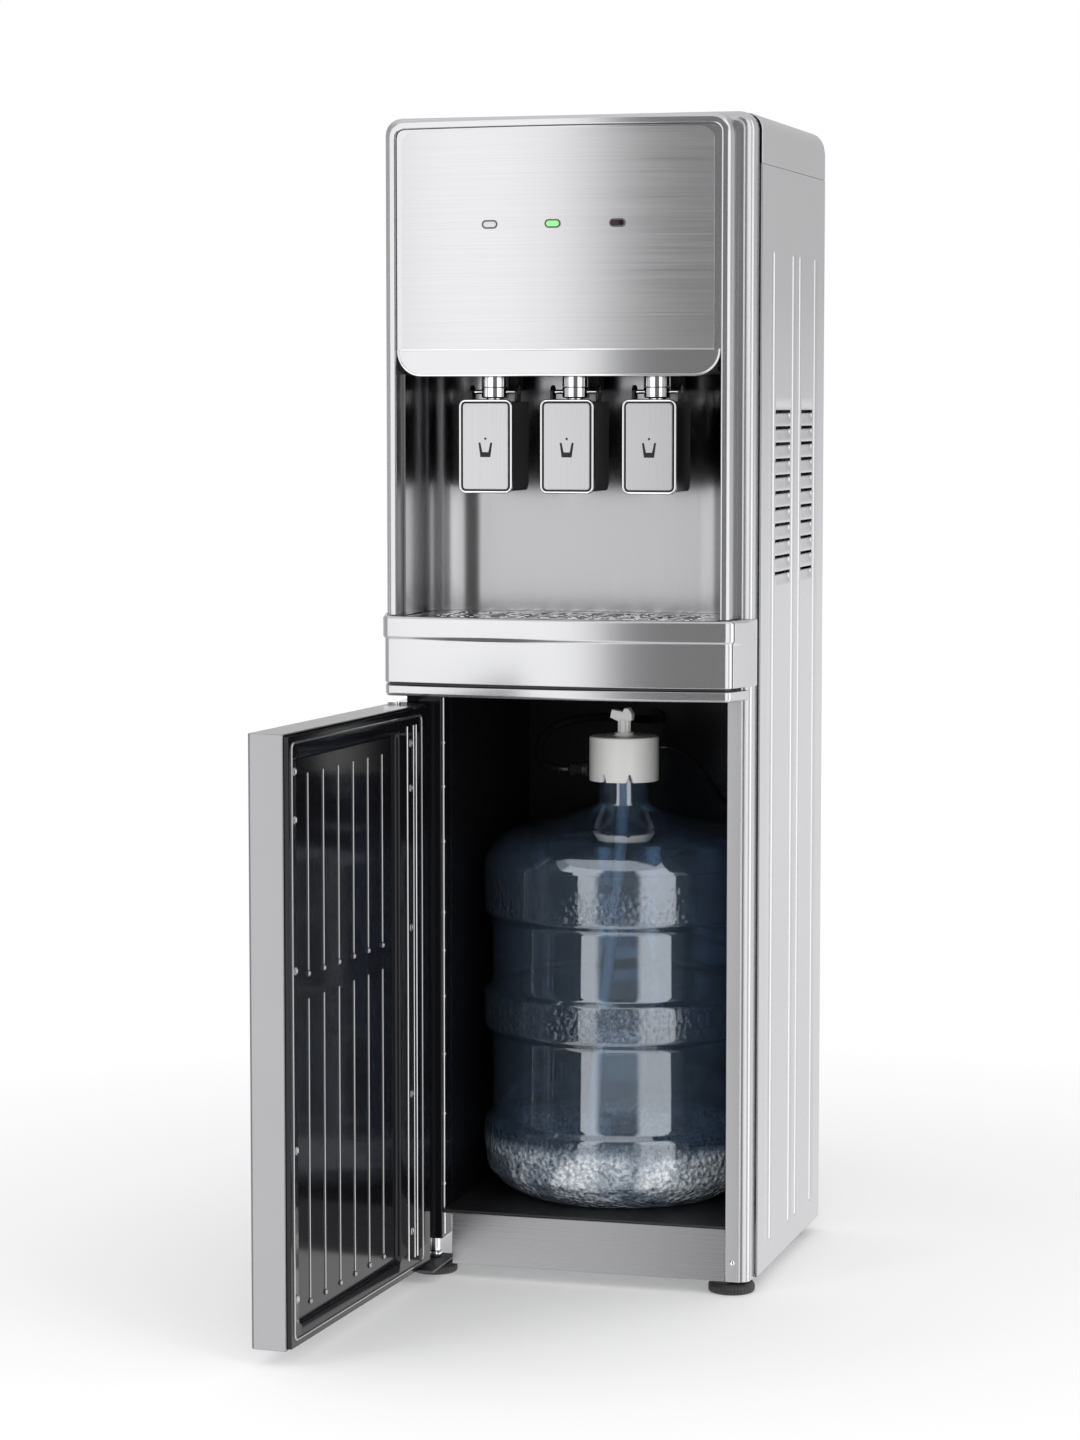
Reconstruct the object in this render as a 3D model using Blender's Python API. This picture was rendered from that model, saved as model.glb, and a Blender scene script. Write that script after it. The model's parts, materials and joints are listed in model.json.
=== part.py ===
"""A floor-standing water dispenser: three lever taps over a drip tray, and a bottle bay behind a hinged door.

Run with blender --background --python part.py. Metres, +Z up. The front faces -Y, and the origin lies on the
floor under the middle of the cabinet. Depths are measured back from the cabinet's front plane.
"""

import math
from collections import namedtuple

import bmesh
import bpy
from mathutils import Vector

Finish = namedtuple("Finish", "colour roughness metallic")

# Finishes
SILVER_PAINT = Finish((0.62, 0.62, 0.63), 0.35, 0.6)
BRUSHED_STEEL = Finish((0.66, 0.66, 0.67), 0.32, 1.0)
CHROME = Finish((0.85, 0.85, 0.86), 0.08, 1.0)
BLACK_PLASTIC = Finish((0.015, 0.015, 0.017), 0.3, 0.0)
WHITE_PLASTIC = Finish((0.85, 0.85, 0.82), 0.4, 0.0)
RUBBER = Finish((0.02, 0.02, 0.02), 0.7, 0.0)
DARK_PAINT = Finish((0.03, 0.03, 0.03), 0.5, 0.2)
GALVANISED = Finish((0.5, 0.5, 0.52), 0.5, 0.8)
BLUE_CLEAR = Finish((0.25, 0.42, 0.62), 0.05, 0.0)
PALE_TUBE = Finish((0.7, 0.76, 0.8), 0.3, 0.0)
GREEN_LENS = Finish((0.25, 0.85, 0.35), 0.2, 0.0)
CLEAR_LENS = Finish((0.7, 0.7, 0.72), 0.2, 0.0)
DARK_LENS = Finish((0.06, 0.02, 0.03), 0.2, 0.0)
BOARD_GREEN = Finish((0.05, 0.25, 0.1), 0.5, 0.0)

# Fits and sheets that the whole model shares
SEAT_GAP = 0.0003
RUNNING_GAP = 0.0005
OVERRUN = 0.002
SHEET = 0.001
PRESSED_SHEET = 0.0015

# The bottle, which the bay and with it the cabinet are built round
BOTTLE_RADIUS = 0.131
BOTTLE_WALL = 0.0018
BOTTLE_NECK = 0.0240
BOTTLE_SHOULDER = 0.058
BASE_FLAT = 0.098
PUSH_IN = 0.009
BASE_RING_LOW = 0.046
BASE_RING = 0.028
LOWER_WAIST = 0.053
MIDDLE_RING = 0.062
UPPER_WAIST = 0.052
TOP_RING = 0.060
RING_RISE = 0.0075
RING_SLOPE = 0.007
SHOULDER_RISE = 0.043
NECK_RISE = 0.062
NECK_LENGTH = 0.045
BASE_RIM_SHARE = 0.9
BASE_TURN_SHARE = 0.2
BASE_SIDE_SHARES = (0.975, 0.5)
SHOULDER_SHARES = ((0.945, 0.12), (0.80, 0.60))
NECK_ROOT_SHARES = (1.12, 0.92)
BOTTLE_STEPS = 28
BOTTLE_WAIST = BOTTLE_RADIUS - RING_RISE
BASE_RING_TOP = BASE_RING_LOW + BASE_RING
MIDDLE_RING_LOW = BASE_RING_TOP + LOWER_WAIST
MIDDLE_RING_TOP = MIDDLE_RING_LOW + MIDDLE_RING
TOP_RING_LOW = MIDDLE_RING_TOP + UPPER_WAIST
TOP_RING_TOP = TOP_RING_LOW + TOP_RING
MOUTH_HEIGHT = TOP_RING_TOP + NECK_RISE + NECK_LENGTH

# The front frame: a moulding with a flat face, a small step and a rounded outer edge
PANEL_PROUD = 0.0025
FRAME_FACE = 0.0210
FRAME_DEPTH = 0.0262
FRAME_STEP_AT = 0.0080
FRAME_STEP_DROP = 0.0018
FRAME_EDGE_RADIUS = 0.0075
FRAME_CORNER = 0.0150
SMALLEST_CORNER = 0.002

# The bottle bay, which is as wide as the jamb and the bottle, and the cabinet round it
JAMB_WIDTH = 0.0325
JAMB_DEPTH = 0.030
BOTTLE_PLAY_LEFT = 0.0027
BOTTLE_PLAY_RIGHT = 0.0008
BOTTLE_PLAY_FRONT = 0.010
BOTTLE_PLAY_BACK = 0.0115
BAY_HEADROOM = 0.0647
UNDERSIDE = 0.0125
JAMB_RISE = 0.022
FLOOR_RISE = 0.0495
FLOOR_THICKNESS = 0.0035
KICK_INSET = 0.0095
KICK_DROP = 0.002
FRONT_CLEARANCE = 0.0005
LINER_AIR = 0.001
BACK_SHEET = 0.0012
REAR_GAP = 0.0048
FRAME_INNER = (JAMB_WIDTH + BOTTLE_PLAY_LEFT + 2 * BOTTLE_RADIUS + BOTTLE_PLAY_RIGHT) / 2
FRAME_SIDE = FRAME_INNER + FRAME_FACE
SIDE = FRAME_SIDE + PANEL_PROUD
BACK_HALF = SIDE - SHEET - SEAT_GAP
BAY_LEFT = JAMB_WIDTH - FRAME_INNER
BAY_BACK = BOTTLE_PLAY_FRONT + 2 * BOTTLE_RADIUS + BOTTLE_PLAY_BACK
BACK_INNER = BAY_BACK + PRESSED_SHEET + LINER_AIR
BACK_OUTER = BACK_INNER + BACK_SHEET
CABINET_DEPTH = BACK_OUTER + REAR_GAP
BOTTLE_X = FRAME_INNER - BOTTLE_PLAY_RIGHT - BOTTLE_RADIUS
BOTTLE_DEPTH = BOTTLE_PLAY_FRONT + BOTTLE_RADIUS
JAMB_LOW = UNDERSIDE + JAMB_RISE
FLOOR_TOP = UNDERSIDE + FLOOR_RISE
FLOOR_LOW = FLOOR_TOP - FLOOR_THICKNESS
BASE_TOP = FLOOR_LOW - SEAT_GAP
KICK_LEFT = BAY_LEFT + KICK_INSET
KICK_TOP = FLOOR_TOP - KICK_DROP
BOTTLE_LOW = FLOOR_TOP + SEAT_GAP
MOUTH_Z = BOTTLE_LOW + MOUTH_HEIGHT
BAY_TOP = MOUTH_Z + BAY_HEADROOM

# The band below the alcove, from the strip over the bay up to the tray's rim
STRIP_HEIGHT = 0.0090
STRIP_INSET = 0.0005
DECK_THICKNESS = 0.0024
DECK_INSET = 0.004
APRON_HEIGHT = 0.0593
APRON_EDGE = 0.034
BAND_SIDE = 0.0182
BAND_CORNER = 0.007
BAND_REAR = 0.0155
TAPER_FROM = 0.009
BAND_WALL = 0.006
SLIM_WALL = 0.0018
SLIM_CLEARANCE = 0.003
GROOVE_ALONG = 0.0015
CORNER_LIP_SHARES = (0, 0, 0.5, 0.8, 1)
RIM_PROUD = 0.0018
RIM_HEIGHT = 0.018
RIM_STEP = 0.0025
RIM_ROUND = 0.002
BAND_GROOVE = 0.0015
BAND_HALF = SIDE - SEAT_GAP
BAND_FRONT_HALF = BAND_HALF - BAND_SIDE
STRIP_LOW = BAY_TOP
STRIP_TOP = STRIP_LOW + STRIP_HEIGHT
DECK_LOW = STRIP_TOP + SEAT_GAP
DECK_TOP = DECK_LOW + DECK_THICKNESS
APRON_LOW = DECK_TOP + SEAT_GAP
RIM_TOP = APRON_LOW + APRON_HEIGHT
BRACKET_TOP = STRIP_LOW - SEAT_GAP

# The bezel round head and alcove, and the heights over the tray's rim
ALCOVE_HEIGHT = 0.2132
HEAD_HEIGHT = 0.2265
HEAD_MARGIN = 0.0040
BEZEL_MARGIN = 0.013
BEZEL_CORNER = 0.016
BEZEL_EDGE = 0.028
BEZEL_FACE = 0.0085
BEZEL_ROUND = 0.003
BEZEL_INNER_ROUND = 0.001
BEZEL_HALF = FRAME_SIDE - BEZEL_MARGIN
HEAD_LOW = RIM_TOP + SEAT_GAP
CHIN_LOW = RIM_TOP + ALCOVE_HEIGHT
BEZEL_TOP = CHIN_LOW + HEAD_HEIGHT
TOTAL_HEIGHT = BEZEL_TOP + HEAD_MARGIN

# The bowed fronts of head and band
BOW_RISE = 0.014
BOW_HALF = BEZEL_HALF
BOW_STEPS = 8
CORNER_STEPS = 5

# The head's front: carrier with its chin, brushed panel and indicators
CARRIER_SETBACK = 0.0025
CARRIER_BACK = -0.004
CHIN_HEIGHT = 0.0235
CHIN_CORNER = 0.023
PANEL_INSET = 0.0145
PANEL_MARGIN = 0.002
PANEL_CORNER = 0.012
PANEL_SHEET = 0.0012
LENS_WIDTH = 0.0125
LENS_HEIGHT = 0.0055
LENS_DEPTH = 0.008
LENS_PITCH = 0.058
LENS_RISE = 0.1095
LENS_STEPS = 10
BOARD_HALF = 0.080
BOARD_HEIGHT = 0.045
BOARD_THICKNESS = 0.0016
CARRIER_HALF = BEZEL_HALF - BEZEL_FACE - SEAT_GAP
CARRIER_TOP = BEZEL_TOP - BEZEL_FACE - SEAT_GAP
CARRIER_EDGE = BEZEL_EDGE - CARRIER_SETBACK
PANEL_HALF = BEZEL_HALF - PANEL_INSET
PANEL_LOW = CHIN_LOW + CHIN_HEIGHT
PANEL_EDGE = CARRIER_EDGE + SEAT_GAP + PANEL_SHEET
PANEL_TOP = CARRIER_TOP - PANEL_MARGIN
LENS_Z = PANEL_LOW + LENS_RISE

# The alcove
LINER_SHEET = 0.002
ALCOVE_FRONT = -0.010
ALCOVE_BACK = 0.090
ALCOVE_CORNER = 0.045
CEILING_RISE = 0.0025
CEILING_SHEET = 0.0025
PLAN_STEPS = 6
LINER_OUTER = CARRIER_HALF
ALCOVE_HALF = LINER_OUTER - LINER_SHEET
CEILING_LOW = CHIN_LOW + CEILING_RISE
LINER_TOP = CEILING_LOW - SEAT_GAP

# The drip tray and its grille
TRAY_CLEARANCE = 0.003
TRAY_WALL = 0.002
TRAY_FRONT_EDGE = 0.0255
TRAY_FRONT_CORNER = 0.006
GRILLE_SHEET = 0.003
GRILLE_DROP = 0.0005
SLOT_LENGTH = 0.017
SLOT_WIDTH = 0.008
SLOT_COLUMNS = 10
SLOT_ROWS = 6
SLOT_SIDE_MARGIN = 0.0307
SLOT_BACK_MARGIN = 0.0295
SLOT_FIRST_DEPTH = -0.015
FINGER_COLUMNS = (1, 8)
FINGER_ROWS = (2, 3)
TRAY_HALF = ALCOVE_HALF - TRAY_CLEARANCE
TRAY_BACK = ALCOVE_BACK - TRAY_CLEARANCE
TRAY_BACK_CORNER = ALCOVE_CORNER - TRAY_CLEARANCE
TRAY_LOW = DECK_TOP + RUNNING_GAP
GRILLE_LOW = RIM_TOP - GRILLE_DROP - GRILLE_SHEET
TRAY_TOP = GRILLE_LOW - SEAT_GAP
SLOT_PITCH_X = 2 * (TRAY_HALF - SLOT_SIDE_MARGIN) / (SLOT_COLUMNS - 1)
SLOT_PITCH_Y = (TRAY_BACK - SLOT_BACK_MARGIN - SLOT_FIRST_DEPTH) / (SLOT_ROWS - 1)

# The taps
TAP_PITCH = 0.0757
TAP_DEPTH = 0.035
COLLAR_RADIUS = 0.0122
COLLAR_HEIGHT = 0.021
NECK_RADIUS = 0.008
NECK_HEIGHT = 0.010
NOZZLE_RADIUS = 0.006
NOZZLE_BORE = 0.004
NOZZLE_HEIGHT = 0.026
BORE_DEPTH = 0.010
COLLAR_CHAMFER = 0.001
PIN_RADIUS = 0.002
PIN_DROP = 0.0155
PIN_CLEARANCE = 0.0003
COLLAR_TOP = CEILING_LOW - SEAT_GAP
COLLAR_LOW = COLLAR_TOP - COLLAR_HEIGHT
PIN_Z = COLLAR_TOP - PIN_DROP

# The levers, hung from the taps' pins
FACE_DEPTH = 0.004
FACE_WIDTH = 0.050
FACE_HEIGHT = 0.084
FACE_DROP = 0.0067
FACE_CORNER = 0.005
FACE_THICKNESS = 0.0035
ARM_WIDTH = 0.045
ARM_WALL = 0.0025
ARM_REACH = 0.058
ARM_MARGIN = 0.002
ARM_CORNER = 0.008
EAR_WIDTH = 0.012
MOUNT_DEPTH = 0.018
MOUNT_DROP = 0.015
MOUNT_CLEARANCE = 0.003
FACE_LOW = PIN_Z - FACE_DROP - FACE_HEIGHT
ARM_FRONT = FACE_DEPTH + FACE_THICKNESS + SEAT_GAP
ARM_INNER = ARM_WIDTH / 2 - ARM_WALL

# The door, measured in plan from its hinge pin when it is closed
HINGE_X = -FRAME_INNER
HINGE_DEPTH = -0.027
DOOR_OPEN = math.radians(92.5)
DOOR_MARGIN = 0.0025
DOOR_SILL = 0.001
DOOR_HEAD_GAP = 0.0085
DOOR_OUTER = -0.011
DOOR_SWEEP = 0.0252
SKIN_DEPTH = 0.032
SKIN_WALL = 0.0015
SKIN_CORNER = 0.004
HINGE_COLUMN = 0.012
RIB_HEIGHT = 0.002
LINER_MARGIN = 0.002
LINER_BORDER = 0.016
RIB_WIDTH = 0.004
RIB_FIELDS = 7
FIELD_LEFT = 0.060
HINGE_PIN_RADIUS = 0.003
HINGE_PIN_LENGTH = 0.0115
HINGE_PIN_CLEARANCE = 0.0003
BRACKET_SHEET = 0.0022
BRACKET_REACH_LEFT = 0.016
BRACKET_REACH_RIGHT = 0.035
BRACKET_REACH_FRONT = 0.009
BRACKET_REACH_BACK = 0.016
BLOCK_HALF = 0.011
BLOCK_HEIGHT = 0.0057
STUD_HOLE_CLEARANCE = 0.0005
DOOR_FREE_END = FRAME_SIDE - DOOR_MARGIN - HINGE_X
DOOR_HINGE_END = DOOR_MARGIN - FRAME_SIDE - HINGE_X
DOOR_LOW = UNDERSIDE + DOOR_SILL
DOOR_TOP = STRIP_LOW - DOOR_HEAD_GAP

# Side panels, top cover and back panel
COVER_SKIRT = 0.044
COVER_SHEET = 0.0015
COVER_ROUND = 0.008
COVER_ROUND_STEPS = 3
PRESSING_DEPTH = 0.002
PRESSING_RISE = 0.0215
PRESSING_DROP = 0.074
PRESSING_SHARES = ((0.25, 0.5377), (0.62, 0.863))
LOUVRE_COUNT = 11
LOUVRE_RISE = 0.097
LOUVRE_PITCH = 0.01455
LOUVRE_MARGIN = 0.009
LOUVRE_SLOT = 0.005
LOUVRE_FLAP = 0.0075
RECESS_SIDE = 0.0362
RECESS_DROP = 0.021
RECESS_DEPTH = 0.0160
COVER_LOW = TOTAL_HEIGHT - COVER_SKIRT
INSIDE = SIDE - SHEET - PRESSING_DEPTH - SEAT_GAP
PRESSING_LOW = UNDERSIDE + PRESSING_RISE
PRESSING_TOP = COVER_LOW - PRESSING_DROP
LOUVRE_LOW = STRIP_LOW + LOUVRE_RISE
RECESS_HALF = BACK_HALF - RECESS_SIDE
RECESS_TOP = COVER_LOW - RECESS_DROP
SHELF_BACK = BACK_OUTER - RECESS_DEPTH - BACK_SHEET - SEAT_GAP

# The feet
FOOT_RADIUS = 0.021
FOOT_SHOULDER = 0.0025
FOOT_ROUND = 0.003
STUD_RADIUS = 0.004
LEFT_FOOT_REACH = 0.019
RIGHT_FOOT_INSET = 0.0196
FRONT_FOOT_DEPTH = 0.020
REAR_FOOT_INSET = 0.0292
REAR_FOOT_MARGIN = 0.030
FOOT_HEIGHT = UNDERSIDE - FOOT_SHOULDER
LEFT_FOOT_X = HINGE_X + LEFT_FOOT_REACH
RIGHT_FOOT_X = FRAME_SIDE - RIGHT_FOOT_INSET
REAR_FOOT_X = INSIDE - REAR_FOOT_INSET
REAR_FOOT_DEPTH = CABINET_DEPTH - REAR_FOOT_MARGIN

# Switches and inlet in the strip of back panel under the recess
SERVICE_RISE = 0.0285
SERVICE_MARGIN = 0.0165
SWITCH_INSET = 0.030
SWITCH_PITCH = 0.024
SWITCH_WIDTH = 0.014
SWITCH_HEIGHT = 0.018
SWITCH_THICKNESS = 0.003
SWITCH_CLEARANCE = 0.0007
SWITCH_TILT = math.radians(10)
PLATE_WIDTH = 0.052
PLATE_HEIGHT = 0.026
PLATE_SHEET = 0.002
PLATE_MARGIN = 0.002
INLET_INSET = 0.025
INLET_RADIUS = 0.011
INLET_LENGTH = 0.0040
INLET_BORE = 0.0045
SERVICE_Z = STRIP_LOW + SERVICE_RISE
SWITCH_X = RECESS_HALF - SWITCH_INSET
INLET_X = INLET_INSET - RECESS_HALF
RECESS_LOW = SERVICE_Z + SERVICE_MARGIN

# What the cabinet holds, in the space between the alcove and the recess
COMPRESSOR_CLEARANCE = 0.002
COMPRESSOR_RADIUS = 0.062
COMPRESSOR_HEIGHT = 0.160
COLD_CLEARANCE = 0.013
COLD_RADIUS = 0.065
COLD_HEIGHT = 0.165
HOT_CLEARANCE = 0.023
HOT_RADIUS = 0.055
HOT_HEIGHT = 0.160
DOME_RISE = 0.020
DOME_SHARES = (0.8, 0.35)
PUMP_INSET = 0.0367
PUMP_RADIUS = 0.026
PUMP_LENGTH = 0.075
CONDENSER_TUBE = 0.0025
CONDENSER_INSET = 0.030
CONDENSER_RUNS = 11
CONDENSER_LOW_MARGIN = 0.032
CONDENSER_TOP_MARGIN = 0.033
BEND_STEPS = 3
COOLING_DEPTH = (ALCOVE_BACK + LINER_SHEET + SHELF_BACK) / 2
CONDENSER_HALF = RECESS_HALF - CONDENSER_INSET
CONDENSER_LOW = RECESS_LOW + CONDENSER_LOW_MARGIN
CONDENSER_PITCH = (RECESS_TOP - CONDENSER_TOP_MARGIN - CONDENSER_LOW) / (CONDENSER_RUNS - 1)

# The probe that goes into the bottle, and its lines to the bay's back wall
CAP_RADIUS = 0.0325
CAP_SKIRT = 0.0238
CAP_CROWN = 0.0177
CAP_ROUND = 0.002
CAP_CLEARANCE = 0.0015
STEM_RADIUS = 0.006
STEM_FLANGE = 0.009
STEM_FLANGE_HEIGHT = 0.003
STEM_HEIGHT = 0.018
CLIP_LENGTH = 0.021
CLIP_HEIGHT = 0.012
CLIP_SEAT = 0.004
CLIP_WIDTH = 0.010
CLIP_LEFT_SHARE = 0.6
TUBE_RADIUS = 0.005
TUBE_LEAN = 0.030
TUBE_END = 0.0045
TUBE_POINTS = 20
CONNECTOR_RADIUS = 0.007
CONNECTOR_LENGTH = 0.018
CONNECTOR_DROP = 0.0143
CONNECTOR_SHIFT = 0.005
HOSE_RADIUS = 0.004
CABLE_RADIUS = 0.002
HOSE_SPACING = 0.011
CABLE_SPACING = 0.006
ROUTE_SAMPLES = 40
SOCKET_LENGTH = 0.008
SOCKET_WALL = 0.004
HOSE_SIDES = 2
CAP_LOW = MOUTH_Z - CAP_SKIRT
CAP_TOP = MOUTH_Z + CAP_CROWN
STEM_TOP = CAP_TOP + STEM_HEIGHT
CONNECTOR_Z = MOUTH_Z - CONNECTOR_DROP
HOSE_ROUTE = (
    (-0.0350, 0.1360, 0.4560),
    (-0.0450, 0.1360, 0.4560),
    (-0.0600, 0.1410, 0.4600),
    (-0.0680, 0.1520, 0.4740),
    (-0.0620, 0.1680, 0.4900),
    (-0.0420, 0.1860, 0.4980),
    (-0.0150, 0.2100, 0.4990),
    (0.0080, 0.2400, 0.4950),
    (0.0120, 0.2620, 0.4930),
    (0.0120, 0.2752, 0.4930),
)
CABLE_ROUTE = (
    (0.0490, 0.1520, 0.4770),
    (0.0590, 0.1570, 0.4760),
    (0.0730, 0.1700, 0.4660),
    (0.0860, 0.1900, 0.4450),
    (0.0930, 0.2200, 0.4230),
    (0.0960, 0.2560, 0.4110),
    (0.0960, 0.2752, 0.4100),
)

ROUND_STEPS = 24
FINE_STEPS = 16
ARC_STEPS = 4
HALF_ROUND_STEPS = 8
PLACES = {
    "x": lambda u, v, w: (w, u, v),
    "y": lambda u, v, w: (u, w, v),
    "z": lambda u, v, w: (u, v, w),
}


def behind(depth):
    """World Y of a depth behind the front plane."""
    return depth - CABINET_DEPTH / 2


def clear_scene():
    for obj in list(bpy.data.objects):
        bpy.data.objects.remove(obj)


def material(name, finish):
    look = bpy.data.materials.new(name)
    look.use_nodes = True
    shader = look.node_tree.nodes["Principled BSDF"]
    shader.inputs["Base Color"].default_value = (*finish.colour, 1)
    shader.inputs["Roughness"].default_value = finish.roughness
    shader.inputs["Metallic"].default_value = finish.metallic
    look.diffuse_color = (*finish.colour, 1)
    return look


def place(name, data, finish):
    obj = bpy.data.objects.new(name, data)
    bpy.context.scene.collection.objects.link(obj)
    if finish:
        data.materials.append(material(name, finish))
    return obj


def solid(name, finish, points, faces, smooth=False):
    """One closed mesh object with its faces turned outwards."""
    shape = bmesh.new()
    corners = [shape.verts.new(point) for point in points]
    for face in faces:
        shape.faces.new([corners[index] for index in face])
    bmesh.ops.recalc_face_normals(shape, faces=shape.faces)
    for face in shape.faces:
        face.smooth = smooth
    mesh = bpy.data.meshes.new(name)
    shape.to_mesh(mesh)
    shape.free()
    return place(name, mesh, finish)


def loft(name, finish, loops, closed=False, smooth=False):
    """A solid through loops of equally many points, capped unless its last loop joins its first."""
    count = len(loops[0])
    points = [point for loop in loops for point in loop]
    faces = []
    for step in range(len(loops) if closed else len(loops) - 1):
        here = step * count
        there = (step + 1) % len(loops) * count
        for i in range(count):
            j = (i + 1) % count
            faces.append((here + i, here + j, there + j, there + i))
    if not closed:
        faces.append(tuple(range(count)))
        faces.append(tuple(range(len(points) - count, len(points))))
    return solid(name, finish, points, faces, smooth)


def prism(name, finish, outline, low, high, axis="z"):
    """An outline in the plane across an axis, extruded between two levels of that axis."""
    put = PLACES[axis]
    loops = [[put(u, v, level) for u, v in outline] for level in (low, high)]
    return loft(name, finish, loops)


def box(name, finish, low, high):
    """A box between two corners."""
    outline = ((low[0], low[1]), (high[0], low[1]), (high[0], high[1]), (low[0], high[1]))
    return prism(name, finish, outline, low[2], high[2])


def lathe(name, finish, profile, centre, axis="z", segments=ROUND_STEPS, closed=False):
    """A profile of (radius, height) points turned about an axis through a centre point."""
    put = PLACES[axis]
    points = []
    rows = []
    for radius, height in profile:
        count = segments if radius else 1
        rows.append(range(len(points), len(points) + count))
        for i in range(count):
            turn = math.tau * i / segments
            local = put(radius * math.cos(turn), radius * math.sin(turn), height)
            points.append(Vector(centre) + Vector(local))
    pairs = list(zip(rows, rows[1:]))
    if closed:
        pairs.append((rows[-1], rows[0]))
    faces = []
    for a, b in pairs:
        for i in range(segments):
            j = (i + 1) % segments
            ring = (a[i % len(a)], a[j % len(a)], b[j % len(b)], b[i % len(b)])
            faces.append(tuple(dict.fromkeys(ring)))
    return solid(name, finish, points, faces, smooth=True)


def cylinder(name, finish, radius, low, high, centre, axis="z", segments=FINE_STEPS):
    """A round bar between two heights from its centre point."""
    profile = ((0, low), (radius, low), (radius, high), (0, high))
    return lathe(name, finish, profile, centre, axis, segments)


def combine(body, operation, *tools):
    """The body with each tool joined to it or cut from it, and the tools removed."""
    for tool in tools:
        modifier = body.modifiers.new(operation, "BOOLEAN")
        modifier.operation = operation
        modifier.object = tool
    graph = bpy.context.evaluated_depsgraph_get()
    body.data = bpy.data.meshes.new_from_object(body.evaluated_get(graph))
    body.modifiers.clear()
    for tool in tools:
        bpy.data.objects.remove(tool)
    return body


def group(name, pieces):
    """Separate closed pieces as the one mesh of a single tool."""
    shape = bmesh.new()
    for piece in pieces:
        shape.from_mesh(piece.data)
        bpy.data.objects.remove(piece)
    mesh = bpy.data.meshes.new(name)
    shape.to_mesh(mesh)
    shape.free()
    return place(name, mesh, None)


def arc(centre, radius, start, end, steps):
    """Points of an arc in degrees, both ends included."""
    angles = [math.radians(start + (end - start) * step / steps) for step in range(steps + 1)]
    return [(centre[0] + radius * math.cos(a), centre[1] + radius * math.sin(a)) for a in angles]


def rounded(left, right, low, high, radius):
    """A rectangle with four equal round corners."""
    corners = (
        ((right - radius, high - radius), 0),
        ((left + radius, high - radius), 90),
        ((left + radius, low + radius), 180),
        ((right - radius, low + radius), 270),
    )
    return [point for centre, start in corners for point in arc(centre, radius, start, start + 90, ARC_STEPS)]


def bow(x):
    """How far a bowed front stands ahead of its edges at this place across."""
    return BOW_RISE * (1 - (x / BOW_HALF) ** 2)


def spread(half, steps):
    """Evenly spaced places from the right to the left."""
    return [half - 2 * half * step / steps for step in range(steps + 1)]


def stations(half, corner, steps=CORNER_STEPS, spans=BOW_STEPS):
    """Places from left to right across a front whose end corners are round."""
    ends = [half - corner + corner * math.sin(math.radians(90 * step / steps)) for step in range(steps + 1)]
    middle = spread(half - corner, spans)[1:-1]
    return [-x for x in reversed(ends)] + middle[::-1] + ends


def rounded_drop(x, half, corner):
    """How far a round corner falls away from its straight edge at this place across."""
    past = min(abs(x) - (half - corner), corner)
    return 0 if past <= 0 else corner - math.sqrt(corner**2 - past**2)


def arch(half, top, bottom, radius, spans=1):
    """Points up the right side, over the top and down the left side, as (x, z)."""
    right = arc((half - radius, top - radius), radius, 0, 90, CORNER_STEPS)
    across = [(x, top) for x in spread(half - radius, spans)[1:-1]]
    left = [(-x, z) for x, z in reversed(right)]
    return [(half, bottom), *right, *across, *left, (-half, bottom)]


def band_taper():
    """The line along the band's right side: its start, its direction and the angle of its normal."""
    lean = math.atan(2 * BOW_RISE * BAND_FRONT_HALF / BOW_HALF**2)
    edge = (BAND_FRONT_HALF, behind(-APRON_EDGE - bow(BAND_FRONT_HALF)))
    centre = (edge[0] - BAND_CORNER * math.sin(lean), edge[1] + BAND_CORNER * math.cos(lean))
    shoulder = (BAND_HALF, behind(TAPER_FROM))
    reach = (shoulder[0] - centre[0], shoulder[1] - centre[1])
    turn = math.atan2(reach[1], reach[0]) - math.acos(BAND_CORNER / math.hypot(*reach))
    return centre, turn, lean - math.pi / 2


def on_taper(depth):
    """The place on the taper at this depth, with its normal."""
    turn = band_taper()[1]
    x = BAND_HALF + math.tan(turn) * (TAPER_FROM - depth)
    return (x, behind(depth), math.cos(turn), math.sin(turn))


def corner_round():
    """The band's right front corner, from the taper to the bowed front."""
    centre, turn, end = band_taper()
    points = []
    for step in range(CORNER_STEPS + 1):
        angle = turn + (end - turn) * step / CORNER_STEPS
        normal = (math.cos(angle), math.sin(angle))
        points.append((centre[0] + BAND_CORNER * normal[0], centre[1] + BAND_CORNER * normal[1], *normal))
    return points


def groove_depth(past):
    """The depth on the taper at this distance behind the round corner."""
    centre, turn, _ = band_taper()
    start = centre[1] + BAND_CORNER * math.sin(turn)
    return start + past * math.cos(turn) - behind(0)


def front_path():
    """The band's outer line across its bowed front and round both corners, from the right to the left."""
    right = corner_round()
    across = []
    for x in spread(BAND_FRONT_HALF, BOW_STEPS)[1:-1]:
        slope = 2 * BOW_RISE * x / BOW_HALF**2
        length = math.hypot(slope, 1)
        across.append((x, behind(-APRON_EDGE - bow(x)), slope / length, -1 / length))
    return right + across + mirrored(right)


def mirrored(path):
    """The same line on the left, in the opposite order."""
    return [(-x, y, -nx, ny) for x, y, nx, ny in reversed(path)]


def sweep(name, finish, path, section, walls=None, lips=None):
    """A section of (offset outwards, z) points carried along a path with normals.

    walls limits how far inwards it goes at each point, and lips scales how far outwards.
    """
    walls = walls or [BAND_WALL] * len(path)
    lips = lips or [1] * len(path)
    loops = []
    for (x, y, nx, ny), wall, lip in zip(path, walls, lips):
        offsets = [(max(out, -wall) * (lip if out > 0 else 1), z) for out, z in section]
        loops.append([(x + nx * out, y + ny * out, z) for out, z in offsets])
    return loft(name, finish, loops)


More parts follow.
